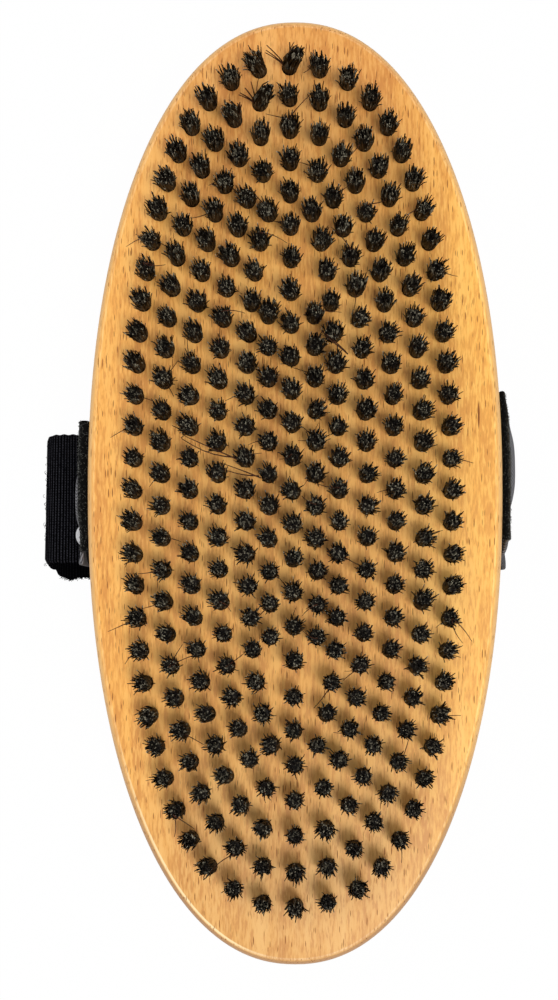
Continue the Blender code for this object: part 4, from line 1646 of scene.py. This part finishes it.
@dataclass
class HandStrap:
    """Both halves of the strap: the tab with its ribbed elastic, and the webbing strap.

    A field that goes to ramp holds where the change starts and how far it takes.
    """

    maker: Maker
    block: WoodenBlock
    width: float = 0.030
    webbing: float = 0.0008
    webbing_columns: int = 40
    elastic: float = 0.0013
    elastic_columns: int = 24
    elastic_sharp_degrees: float = 60.0
    layer_gap: float = 0.0003
    fabric_gap: float = 0.0002
    flap_length: float = 0.0145
    spacing: float = 0.0006
    seam_reach: float = 0.034
    tab_bend: float = 0.003
    fold_reach: float = 0.0568
    tab_shift: float = 0.0004
    fold_radius: float = 0.0039
    tail_corner: float = 0.006
    tail_gap: float = 0.0001
    blend_reach: float = 0.0025
    rib_pitch: float = 0.00063
    rib_steps: int = 4
    rib_height: float = 0.0001
    rib_wave: Pair = (0.00005, 5200.0)
    rib_middle: float = 0.7
    rib_share: float = 0.3
    fold_slant: float = 0.0003
    slant_rise: Pair = (0.047, 0.008)
    ribbon_reach: float = 0.0494
    ribbon_span: Pair = (-0.0101, -0.0047)
    ribbon_corner: float = 0.0026
    ribbon_thickness: float = 0.0002
    ribbon_tuck: float = 0.002
    wrap_rise: Pair = (0.012, 0.008)
    fold_margin: float = 0.0002
    swell_fall: float = 0.0045
    ripple: float = 0.00012
    ripple_waves: Pair = (910.0, 240.0)
    ripple_fall: float = 0.003
    ripple_fade: float = 0.001
    lip: Pair = (0.0017, 0.0007)
    lip_drop: Pair = (0.009, 0.003)
    lip_reach: float = 0.004
    lip_rise: float = 0.02
    left_puff: float = 0.00035
    left_puff_rise: Pair = (0.003, 0.005)
    left_spread: float = 0.0038
    right_puff: float = -0.0001
    right_curl: float = 0.00045
    right_curl_rise: Pair = (0.0155, 0.006)
    left_trim: float = 0.0026
    left_trim_rise: Pair = (0.0288, 0.0025)
    right_trim: float = -0.0012
    right_trim_rise: Pair = (0.015, 0.005)
    elastic_trim: float = 0.0009
    elastic_trim_rise: Pair = (0.001, 0.006)
    elastic_narrow: float = 0.00015
    elastic_widening: Pair = (0.024, 0.01)
    fold_corner: float = 0.001
    edge_wave: float = 0.0001
    edge_wave_pitch: float = 0.0021
    notch: float = 0.0005
    notch_end: Pair = (0.0145, 0.0006)
    lower_edge: tuple[Pair, ...] = (
        (-0.057, 0.0), (-0.0548, -0.0001), (-0.0541, -0.0013), (-0.0516, -0.0022), (-0.0494, -0.0016),
        (-0.036, -0.0016), (-0.01, 0.0),
    )
    right_skew: float = 0.0066
    right_skew_rise: Pair = (0.008, 0.019)
    flare_drop: float = 0.004
    flare_reach: float = 0.0047
    flare_radius: float = 0.008
    heel_radius: float = 0.0045
    step_start: float = 0.0385
    step_end: float = 0.034
    step_radius: float = 0.003
    strap_end: float = 0.003
    bulge_radius: float = 0.0048
    bulge_spread: float = 0.0085
    thread_radius: float = 0.00016
    thread_arch: float = 1.1
    stitch_length: float = 0.0019
    stitch_gap: float = 0.0006
    tab_rows: Pair = (-0.0355, -0.0385)
    tab_row_half: float = 0.0132
    tape_seam: float = 0.0016

    def __post_init__(self) -> None:
        """Read the strap's places from the frame."""
        self.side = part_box("face_board")[1].x
        self.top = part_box("left_tab")[1].z - self.webbing / 2
        self.screw_height = (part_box("left_screw")[0].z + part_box("left_screw")[1].z) / 2
        self.screw_shift = {
            side: (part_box(name)[0].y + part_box(name)[1].y) / 2
            for side, name in ((-1, "left_screw"), (1, "right_screw"))
        }
        low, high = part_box("strap_tail")
        self.tail_start = low.x
        self.tail_end = high.x
        self.flap = self.side + self.fabric_gap + self.webbing / 2
        self.outer = self.flap + self.webbing + self.fabric_gap
        self.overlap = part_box("loop_tape")[1].z + self.layer_gap + self.webbing / 2
        self.bulge_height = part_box("right_screw")[1].x + WELD + self.webbing / 2 - self.outer
        self.tab_end = self.elastic + 2 * self.fold_radius + self.layer_gap + self.webbing / 2

    def outward(self, side: int, place: Vector, across: float) -> float:
        """How far a strap's layer moves along X to follow the block, puff up and pass over the screw.

        Args:
            side: -1 on the left, 1 on the right.
            place: Point of the route.
            across: Place along Y.

        Returns:
            Distance along X.
        """
        high = ramp(place.y, *self.wrap_rise)
        layer = min(1.0, max(0.0, (abs(place.x) - self.flap) / (self.outer - self.flap)))
        reach = (self.puff(side, across) * layer - self.block.recess(across)) * high
        if abs(place.x) < self.outer - WELD or place.y > self.top - self.fold_margin:
            return side * reach
        below = self.top - place.y
        distance = math.hypot(across - self.screw_shift[side], place.y - self.screw_height)
        spread = self.left_spread if side < 0 else self.bulge_spread
        swell = self.bulge_height - self.puff(side, across)
        swell *= ease((self.bulge_radius + spread - distance) / spread)
        swell *= ease(below / self.swell_fall)
        first, second = self.ripple_waves
        ripple = self.ripple * math.sin(across * first + place.y * second) * ease(below / self.ripple_fall)
        drift = self.tab_shift if side < 0 else self.right_drift(place.y)
        to_end = self.width / 2 + across - drift - self.trim(side, place.y)
        half = 0 if side < 0 else 1
        lip = self.lip[half] * ease(1.0 - to_end / self.lip_reach) * ease(place.y / self.lip_rise)
        lip *= ease(below / self.lip_drop[half])
        return side * (reach + swell + lip + ripple * (1.0 - ease(swell / self.ripple_fade)))

    def puff(self, side: int, across: float) -> float:
        """How far a fold's outer layer stands off: full on the left, pressed in at the right's upper end.

        Args:
            side: -1 on the left, 1 on the right.
            across: Place along Y.

        Returns:
            Distance along X.
        """
        if side < 0:
            return self.left_puff * (1.0 - ramp(-across, *self.left_puff_rise))
        return self.right_puff - self.right_curl * ramp(across, *self.right_curl_rise)

    def trim(self, side: int, height: float) -> float:
        """How far a strap's lower edge moves in at a height: in at the left's fold, out on the right.

        Args:
            side: -1 on the left, 1 on the right.
            height: Place along Z.

        Returns:
            Distance along Y, less than 0 where the edge moves out.
        """
        if side < 0:
            return self.left_trim * ramp(height, *self.left_trim_rise)
        return self.right_trim * ramp(height, *self.right_trim_rise)

    def right_drift(self, height: float) -> float:
        """Sideways drift of the right strap, which is pulled askew towards its screw."""
        return self.right_skew * ramp(height, *self.right_skew_rise)

    def fold_corners(self, side: int) -> list[Triple]:
        """Route of a strap's folded end: up the block's side, over the fold, and down outside it.

        Args:
            side: -1 on the left, 1 on the right.

        Returns:
            X, Z and bend radius of each corner.
        """
        radius = (self.outer - self.flap) / 2
        return [
            (side * self.flap, self.top - self.flap_length, 0.0),
            (side * self.flap, self.top, radius),
            (side * self.outer, self.top, radius),
        ]

    def build(self) -> None:
        """Make both halves, with their thread."""
        self.build_tab()
        self.build_elastic()
        self.build_right_strap()

    def webbing_band(
        self, name: str, node: str, side: int, corners: Sequence[Triple],
        shift: Callable[[Vector, float], float],
    ) -> None:
        """Make a webbing strap that is folded at the block's side.

        Args:
            name: Name of the piece.
            node: CAD node that it stands for.
            side: -1 on the left, 1 on the right.
            corners: The route after the fold.
            shift: Sideways drift.
        """
        band = Band(
            rounded_route([*self.fold_corners(side), *corners], self.spacing), self.width, self.webbing,
            columns=self.webbing_columns, shift=shift, trim=lambda place: self.trim(side, place.y),
            push=lambda place, across: self.outward(side, place, across),
        )
        self.maker.piece(name, band.shape(), Slot.WEBBING, [node])

    def build_tab(self) -> None:
        """Webbing tab on the left side, its seams, and the pale ribbon between it and the elastic."""
        corners = [(-self.outer, self.tab_end, self.tab_bend), (-self.seam_reach, self.tab_end, 0.0)]
        self.webbing_band("webbing_tab", "left_tab", -1, corners, lambda place, length: self.tab_shift)
        height = self.tab_end + self.webbing / 2
        half = self.tab_row_half
        rows = [[Vector((x, -half, height)), Vector((x, half, height))] for x in self.tab_rows]
        self.maker.piece("tab_stitching", self.stitches(rows), Slot.WEBBING, finish=self.maker.thread)
        low = self.elastic + 2 * self.fold_radius + self.ribbon_thickness / 4
        shape = tape_plate(
            Vector((self.seam_reach + self.ribbon_tuck, self.ribbon_span[0], low)),
            Vector((self.ribbon_reach, self.ribbon_span[1], low + self.ribbon_thickness)), self.ribbon_corner,
        )
        bmesh.ops.scale(shape, vec=(-1.0, 1.0, 1.0), verts=shape.verts)
        self.maker.piece("seam_ribbon", shape, Slot.WEBBING, finish=self.maker.ribbon)

    def lower_drift(self, place: float) -> float:
        """Sideways drift of the elastic's lower run.

        Args:
            place: Place along X.

        Returns:
            Distance along Y.
        """
        for (start, first), (end, last) in zip(self.lower_edge, self.lower_edge[1:]):
            if place <= end:
                return first + (last - first) * ramp(place, start, end - start)
        return 0.0

    def stitches(self, rows: Sequence[Sequence[Vector]]) -> bmesh.types.BMesh:
        """Lock stitches along straight rows, each a short thread that dips into the cloth at its ends.

        Args:
            rows: Both ends of each row.

        Returns:
            The closed threads.
        """
        lines = []
        pace = self.stitch_length + self.stitch_gap
        for start, end in rows:
            length = (end - start).length
            count = max(1, int(length / pace))
            along = (end - start).normalized()
            margin = along * (length - count * pace + self.stitch_gap) / 2
            for index in range(count):
                first = start + margin + along * pace * index
                line = []
                for share in EVEN_SHARES:
                    rise = math.sin(math.pi * share) * self.thread_radius * self.thread_arch
                    rise -= self.thread_radius
                    place = first + along * self.stitch_length * share + Vector((0.0, 0.0, rise))
                    line.append((place, self.thread_radius))
                lines.append(line)
        return thread_shape("stitches", lines)

    def elastic_shift(self, place: Vector, length: float) -> float:
        """Sideways drift, which passes from the upper run's to the lower run's over the fold."""
        upper = ramp(place.y, self.elastic / 2, 2 * self.fold_radius)
        return self.tab_shift * upper + self.lower_drift(place.x) * (1.0 - upper)

    def elastic_slant(self, place: Vector, across: float) -> float:
        """Lean of the fold, which stands a little further out at its lower end."""
        return self.fold_slant * (across / (self.width / 2)) * ramp(-place.x, *self.slant_rise)

    def elastic_ribs(self, length: float, across: float) -> float:
        """Ribs across the band, each a little wavy.

        Args:
            length: Length along the band.
            across: Place across it.

        Returns:
            How far the surface stands out.
        """
        sway, wave = self.rib_wave
        along = length + sway * math.sin(across * wave)
        return self.rib_height * (abs(math.sin(math.pi * along / self.rib_pitch)) - self.rib_middle)

    def elastic_edge(self, length: float, total: float) -> float:
        """How far the elastic's edges stand in: wavy in its upper run, rounded at the fold and the free end.

        Args:
            length: Length along the elastic.
            total: Its whole length.

        Returns:
            Distance along Y.
        """
        if total - length < self.tail_corner:
            return corner_inset(self.tail_corner, total - length)
        upper = 1.0 - ramp(length, *self.elastic_widening)
        wave = self.edge_wave * math.sin(math.tau * length / self.edge_wave_pitch)
        notch = self.notch * (1.0 - ramp(length, *self.notch_end))
        fold = self.fold_reach - self.elastic / 2
        bend_middle = fold - self.fold_radius - self.seam_reach + self.fold_radius * math.pi / 2
        turn = min(math.pi / 2, abs(length - bend_middle) / self.fold_radius)
        inside = self.fold_radius * (1.0 - math.cos(turn))
        return (self.elastic_narrow + wave + notch) * upper + corner_inset(self.fold_corner, inside)

    def build_elastic(self) -> None:
        """Ribbed elastic: out from the tab's seam, round the fold, and back under the brush."""
        fold = self.fold_reach - self.elastic / 2
        high = self.elastic / 2 + 2 * self.fold_radius
        corners = [
            (-self.seam_reach, high, 0.0),
            (-fold, high, self.fold_radius),
            (-fold, self.elastic / 2, self.fold_radius),
            (self.tail_end - self.tail_gap, self.elastic / 2, 0.0),
        ]
        band = Band(
            rounded_route(corners, self.rib_pitch / self.rib_steps), self.width,
            self.elastic - 2 * self.rib_height * self.rib_share, columns=self.elastic_columns,
            shift=self.elastic_shift, push=self.elastic_slant, swell=self.elastic_ribs,
            narrow=self.elastic_edge,
            trim=lambda place: self.elastic_trim * ramp(place.y, *self.elastic_trim_rise),
        )
        piece = self.maker.piece(
            "ribbed_elastic", band.shape(), Slot.ELASTIC, ["elastic_band", "strap_tail"], body=None,
            smooth_degrees=self.elastic_sharp_degrees,
        )
        self.tail_start - self.blend_reach
        self.tail_start + self.blend_reach
        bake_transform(piece)

    def build_right_strap(self) -> None:
        """Webbing strap on the right side, flaring at its heel, then flat under the brush, and its seams."""
        middle = self.webbing / 2
        corners = [
            (self.outer, self.top - self.flap_length - self.flare_drop, self.flare_radius),
            (self.side + self.flare_reach, middle, self.heel_radius),
            (self.step_start, middle, self.step_radius),
            (self.step_end, self.overlap, self.step_radius),
            (self.strap_end, self.overlap, 0.0),
        ]
        self.webbing_band(
            "webbing_strap", "right_strap", 1, corners, lambda place, length: self.right_drift(place.y)
        )
        low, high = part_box("loop_tape")
        height = self.overlap + middle
        left, right = low.x + self.tape_seam, high.x - self.tape_seam
        front, back = low.y + self.tape_seam, high.y - self.tape_seam
        rows = [[Vector((left, y, height)), Vector((right, y, height))] for y in (front, back)]
        rows += [[Vector((x, front, height)), Vector((x, back, height))] for x in (left, right)]
        self.maker.piece("strap_stitching", self.stitches(rows), Slot.WEBBING, finish=self.maker.thread)


@dataclass
class Closure:
    """Hook tape on the elastic's free end, and loop tape under the right strap."""

    maker: Maker
    rng: random.Random
    pile: float = 0.0004
    pile_root: float = 0.00005
    hook_corner: float = 0.0045
    hook_round: float = 0.005
    hook_rows: int = 17
    hook_columns: int = 13
    hook_pitch: float = 0.0015
    hook_inset: float = 0.0014
    hook_margin: float = 0.0008
    hook_line: tuple[Triple, ...] = (
        (0.0, 0.0, 0.00013), (0.0, 0.00026, 0.00011), (0.00012, 0.0004, 0.0001), (0.0003, 0.00036, 0.00007),
    )
    loop_count: int = 620
    loop_inset: float = 0.0008
    loop_reach: Pair = (0.0002, 0.0004)
    loop_drop: Pair = (0.0003, 0.0005)
    loop_line: tuple[Pair, ...] = ((-1.0, 0.0), (-0.7, 0.8), (0.7, 1.0), (1.0, 0.0))
    loop_radius: float = 0.00005

    def build(self) -> None:
        """Make both tapes."""
        self.build_hook_tape()
        self.build_loop_tape()

    def build_hook_tape(self) -> None:
        """Hook tape on the elastic's free end, with rows of hooks that point both ways."""
        low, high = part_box("hook_tape")
        base = tape_plate(low, Vector((high.x, high.y, high.z - self.pile)), self.hook_corner)
        self.maker.piece("hook_tape_base", base, Slot.HOOK_TAPE, ["hook_tape"], body=Body.TAIL)
        inset = self.hook_round
        foot = high.z - self.pile - self.pile_root
        lines = []
        for row in range(self.hook_rows):
            for column in range(self.hook_columns):
                x = low.x + self.hook_inset + column * self.hook_pitch
                y = low.y + self.hook_inset + row * self.hook_pitch
                over = Vector((max(0.0, x - high.x + inset), max(0.0, abs(y) - high.y + inset)))
                if over.length > inset - self.hook_margin or x > high.x - self.hook_margin:
                    continue
                way = 1 if (row + column) % 2 else -1
                lines.append([
                    (Vector((x + way * along, y, foot + rise)), radius)
                    for along, rise, radius in self.hook_line
                ])
        self.maker.piece("hooks", thread_shape("hooks", lines), Slot.HOOK_TAPE, body=Body.TAIL)

    def build_loop_tape(self) -> None:
        """Loop tape under the right strap, with its pile."""
        low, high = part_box("loop_tape")
        base = tape_plate(Vector((low.x, low.y, low.z + self.pile)), high, 0.0)
        self.maker.piece("loop_tape_base", base, Slot.LOOP_TAPE, ["loop_tape"])
        lines = []
        for _ in range(self.loop_count):
            x = self.rng.uniform(low.x + self.loop_inset, high.x - self.loop_inset)
            y = self.rng.uniform(low.y + self.loop_inset, high.y - self.loop_inset)
            out = heading(self.rng.uniform(0.0, math.tau)) * self.rng.uniform(*self.loop_reach)
            foot = Vector((x, y, low.z + self.pile + self.pile_root))
            drop = Vector((0.0, 0.0, -self.rng.uniform(*self.loop_drop)))
            lines.append([(foot + out * way + drop * down, self.loop_radius) for way, down in self.loop_line])
        self.maker.piece("loop_pile", thread_shape("pile", lines), Slot.LOOP_TAPE)


@dataclass
class Fluff:
    """Short fibres on the strap's folds, and small loops and frayed ends along the elastic's."""

    maker: Maker
    strap: HandStrap
    rng: random.Random
    fibre_count: int = 350
    fibre_from: float = -0.25
    fibre_margin: float = 0.0002
    fibre_sink: float = 0.96
    fibre_drop: float = 0.0006
    fibre_length: Pair = (0.00025, 0.0006)
    fibre_way: Pair = (0.45, 0.9)
    fibre_arch: float = 0.0001
    fibre_radii: Pair = (0.00005, 0.00002)
    snag_count: int = 34
    snag_span: Pair = (-0.0145, 0.0148)
    snag_scatter: float = 0.0012
    snag_size: Pair = (0.00015, 0.0004)
    snag_tuck: float = 0.00008
    snag_radius: float = 0.00004
    fray_count: int = 260
    fray_span: Pair = (-0.0545, -0.0425)
    fray_inset: Pair = (0.0, 0.001)
    fray_height: Pair = (0.0003, 0.0012)
    fray_scatter: float = 0.0005
    fray_length: Pair = (0.0001, 0.0007)
    fray_rise: Pair = (-0.0004, 0.0003)
    fray_lowest: float = 0.0001
    fray_radii: Pair = (0.00009, 0.00004)

    def build(self) -> None:
        """Make the fibres and the loops."""
        self.build_fold_fuzz()
        self.build_elastic_loops()

    def build_fold_fuzz(self) -> None:
        """Short fibres that stand off the two folds."""
        strap = self.strap
        lines = []
        for side, shift in ((-1, strap.tab_shift), (1, strap.right_drift(strap.top))):
            lines += [self.fibre(side, shift) for _ in range(self.fibre_count)]
        self.maker.piece(
            "fold_fuzz", thread_shape("fuzz", lines), Slot.WEBBING, finish=self.maker.fuzz,
            smooth_degrees=None,
        )

    def fibre(self, side: int, shift: float) -> Thread:
        """One short fibre on a fold.

        Args:
            side: -1 on the left, 1 on the right.
            shift: Sideways drift of the fold.

        Returns:
            Points along the fibre, each with the radius there.
        """
        strap = self.strap
        angle = self.rng.uniform(self.fibre_from, 1.0) * math.pi
        y = shift + self.rng.uniform(-1.0, 1.0) * (strap.width / 2 - self.fibre_margin)
        y += strap.trim(side, strap.top) * (0.5 - (y - shift) / strap.width)
        radius = (strap.outer - strap.flap + strap.webbing + strap.puff(side, y)) / 2
        middle = side * ((strap.outer + strap.flap + strap.puff(side, y)) / 2 - strap.block.recess(y))
        out = Vector((side * math.cos(angle), 0.0, max(0.0, math.sin(angle))))
        x = middle + out.x * radius * self.fibre_sink
        z = strap.top - self.fibre_drop + out.z * radius * self.fibre_sink
        foot = Vector((x, y, z))
        lean = Vector((0.0, self.rng.gauss(0.0, 1.0), 0.0))
        lean += out.cross(Vector((0.0, self.rng.gauss(0.0, 1.0), 0.0)))
        length = self.rng.uniform(*self.fibre_length)
        rise, aside = self.fibre_way
        tip = foot + (out * rise + lean.normalized() * aside) * length
        thick, thin = self.fibre_radii
        return [(foot, thick), (foot.lerp(tip, 0.5) + out * self.fibre_arch, thick), (tip, thin)]

    def build_elastic_loops(self) -> None:
        """Small loops along the elastic's fold, and frayed ends along its lower edge."""
        strap = self.strap
        lines = []
        middle = strap.elastic / 2 + strap.fold_radius
        for _ in range(self.snag_count):
            y = self.rng.uniform(*self.snag_span)
            height = middle + self.rng.gauss(0.0, self.snag_scatter)
            size = self.rng.uniform(*self.snag_size)
            line = []
            for share in EVEN_SHARES:
                angle = math.pi * share
                x = -strap.fold_reach + self.snag_tuck - size * math.sin(angle)
                line.append((Vector((x, y - size * math.cos(angle), height)), self.snag_radius))
            lines.append(line)
        thick, thin = self.fray_radii
        for _ in range(self.fray_count):
            x = self.rng.uniform(*self.fray_span)
            y = strap.lower_drift(x) - strap.width / 2 + self.rng.uniform(*self.fray_inset)
            foot = Vector((x, y, self.rng.uniform(*self.fray_height)))
            aside = self.rng.gauss(0.0, self.fray_scatter)
            tip = foot + Vector((aside, -self.rng.uniform(*self.fray_length), 0.0))
            tip.z = max(self.fray_lowest, foot.z + self.rng.uniform(*self.fray_rise))
            lines.append([(foot, thick), (tip, thin)])
        self.maker.piece("elastic_loops", thread_shape("loops", lines), Slot.ELASTIC, smooth_degrees=None)


@dataclass
class Fasteners:
    """The four carried-over screws and washers."""

    maker: Maker
    names: tuple[str, ...] = ("left_screw", "left_washer", "right_screw", "right_washer")

    def build(self) -> None:
        """Give each its steel."""
        for name in self.names:
            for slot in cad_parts[name].material_slots:
                slot.material = self.maker.finishes[Slot.STEEL]
            LOG.info("%s: steel", name)


@dataclass
class Studio:
    """Camera at the photograph's place, soft light from above and a pale floor."""

    face: float
    pixels_per_metre: float = 4822.0
    block_centre_pixel: Pair = (295.0, 492.7)
    view_axis_pixel: Pair = (312.0, 620.0)
    lens: float = 57.0
    sensor: float = 36.0
    clip_start: float = 0.01
    floor_size: float = 6.0
    floor_tone: Colour = (0.82, 0.82, 0.82)
    floor_roughness: float = 0.9
    floor_white: float = 0.98
    key_place: Triple = (0.5, -0.62, 2.4)
    key_size: float = 0.7
    key_power: float = 37.0
    fill_place: Triple = (-0.4, 0.3, 1.3)
    fill_size: float = 0.9
    fill_power: float = 4.0
    world_strength: float = 0.42
    mirrored_share: float = 0.6

    def camera(self) -> None:
        """Place the camera: it looks straight down, and its shift frames the brush as the photograph does."""
        wide, high = self.view_axis_pixel
        data = bpy.data.cameras.new("camera")
        data.lens = self.lens
        data.sensor_width = self.sensor
        data.shift_x = (PHOTO_WIDTH / 2 - wide) / PHOTO_HEIGHT
        data.shift_y = (high - PHOTO_HEIGHT / 2) / PHOTO_HEIGHT
        data.clip_start = self.clip_start
        camera = add_object("camera", data)
        camera.location = (
            (wide - self.block_centre_pixel[0]) / self.pixels_per_metre,
            (self.block_centre_pixel[1] - high) / self.pixels_per_metre,
            self.face + self.lens / self.sensor * PHOTO_HEIGHT / self.pixels_per_metre,
        )
        bpy.context.scene.camera = camera

    def lamp(self, name: str, place: Triple, size: float, power: float) -> None:
        """Square soft light that points at the brush.

        Args:
            name: Name of the light.
            place: Where it hangs.
            size: Length of its sides.
            power: Its power in watts.
        """
        data = bpy.data.lights.new(name, "AREA")
        data.size = size
        data.energy = power
        lamp = add_object(name, data)
        lamp.location = place
        lamp.rotation_euler = Vector(place).to_track_quat("Z", "Y").to_euler()

    def floor(self) -> None:
        """Pale floor that the camera sees as near white, and that keeps a soft shadow."""
        bm = bmesh.new()
        bmesh.ops.create_grid(bm, x_segments=1, y_segments=1, size=self.floor_size / 2)
        floor = add_object("floor", mesh_from("floor", bm))
        shader = Shader("floor")
        shader.surface(base_color=self.floor_tone, roughness=self.floor_roughness)
        seen = shader.node("ShaderNodeLightPath", output="Is Camera Ray")
        glossy = shader.node("ShaderNodeLightPath", output="Is Glossy Ray")
        white = shader.node("ShaderNodeEmission", None, {"Color": WHITE, "Strength": 1.0})
        plain = Socket(shader.tree, shader.principled.outputs[0])
        share = seen.larger(glossy) * self.floor_white
        mixed = shader.node("ShaderNodeMixShader", None, {0: share, 1: plain, 2: white})
        shader.feed(shader.tree.nodes["Material Output"].inputs["Surface"], mixed)
        floor.data.materials.append(shader.material)

    def world(self) -> None:
        """Even pale world, white to the camera."""
        world = bpy.data.worlds.new("studio")
        bpy.context.scene.world = world
        world.use_nodes = True
        tree = world.node_tree
        back = tree.nodes["Background"]
        back.inputs["Color"].default_value = (*WHITE, 1.0)
        rays = tree.nodes.new("ShaderNodeLightPath")
        seen, glossy, through = (
            Socket(tree, rays.outputs[f"Is {kind} Ray"]) for kind in ("Camera", "Glossy", "Transmission")
        )
        direct = seen.larger(through).larger(glossy * self.mirrored_share)
        strength = direct * (1.0 - self.world_strength) + self.world_strength
        tree.links.new(strength.socket, back.inputs["Strength"])

    def build(self) -> None:
        """Make the camera, the lights, the world and the floor."""
        self.camera()
        self.lamp("key", self.key_place, self.key_size, self.key_power)
        self.lamp("fill", self.fill_place, self.fill_size, self.fill_power)
        self.floor()
        self.world()
        bpy.context.scene.view_settings.view_transform = "Standard"


def main() -> None:
    """Build the brush and its studio."""
    logging.basicConfig(level=logging.INFO, format="%(name)s: %(message)s")
    maker = Maker(
        {
            Slot.BEECH: BeechFinish().material(),
            Slot.HORSEHAIR: HairFinish().material(),
            Slot.WEBBING: WebbingFinish().material(),
            Slot.ELASTIC: ElasticFinish().material(),
            Slot.HOOK_TAPE: HOOK_TAPE_FINISH.material(),
            Slot.LOOP_TAPE: LOOP_TAPE_FINISH.material(),
            Slot.STEEL: SteelFinish().material(),
        },
        stray_hair=STRAY_HAIR_FINISH.material(),
        thread=THREAD_FINISH.material(),
        fuzz=FUZZ_FINISH.material(),
        ribbon=RIBBON_FINISH.material(),
    )
    pattern = TuftPattern()
    block = WoodenBlock(maker, pattern)
    Studio(block.face).build()
    block.build()
    TuftField(maker, pattern, block.face).build()
    strap = HandStrap(maker, block)
    strap.build()
    rng = random.Random(STRAP_SEED)
    Closure(maker, rng).build()
    Fluff(maker, strap, rng).build()
    Fasteners(maker).build()


if __name__ == "__main__":
    main()
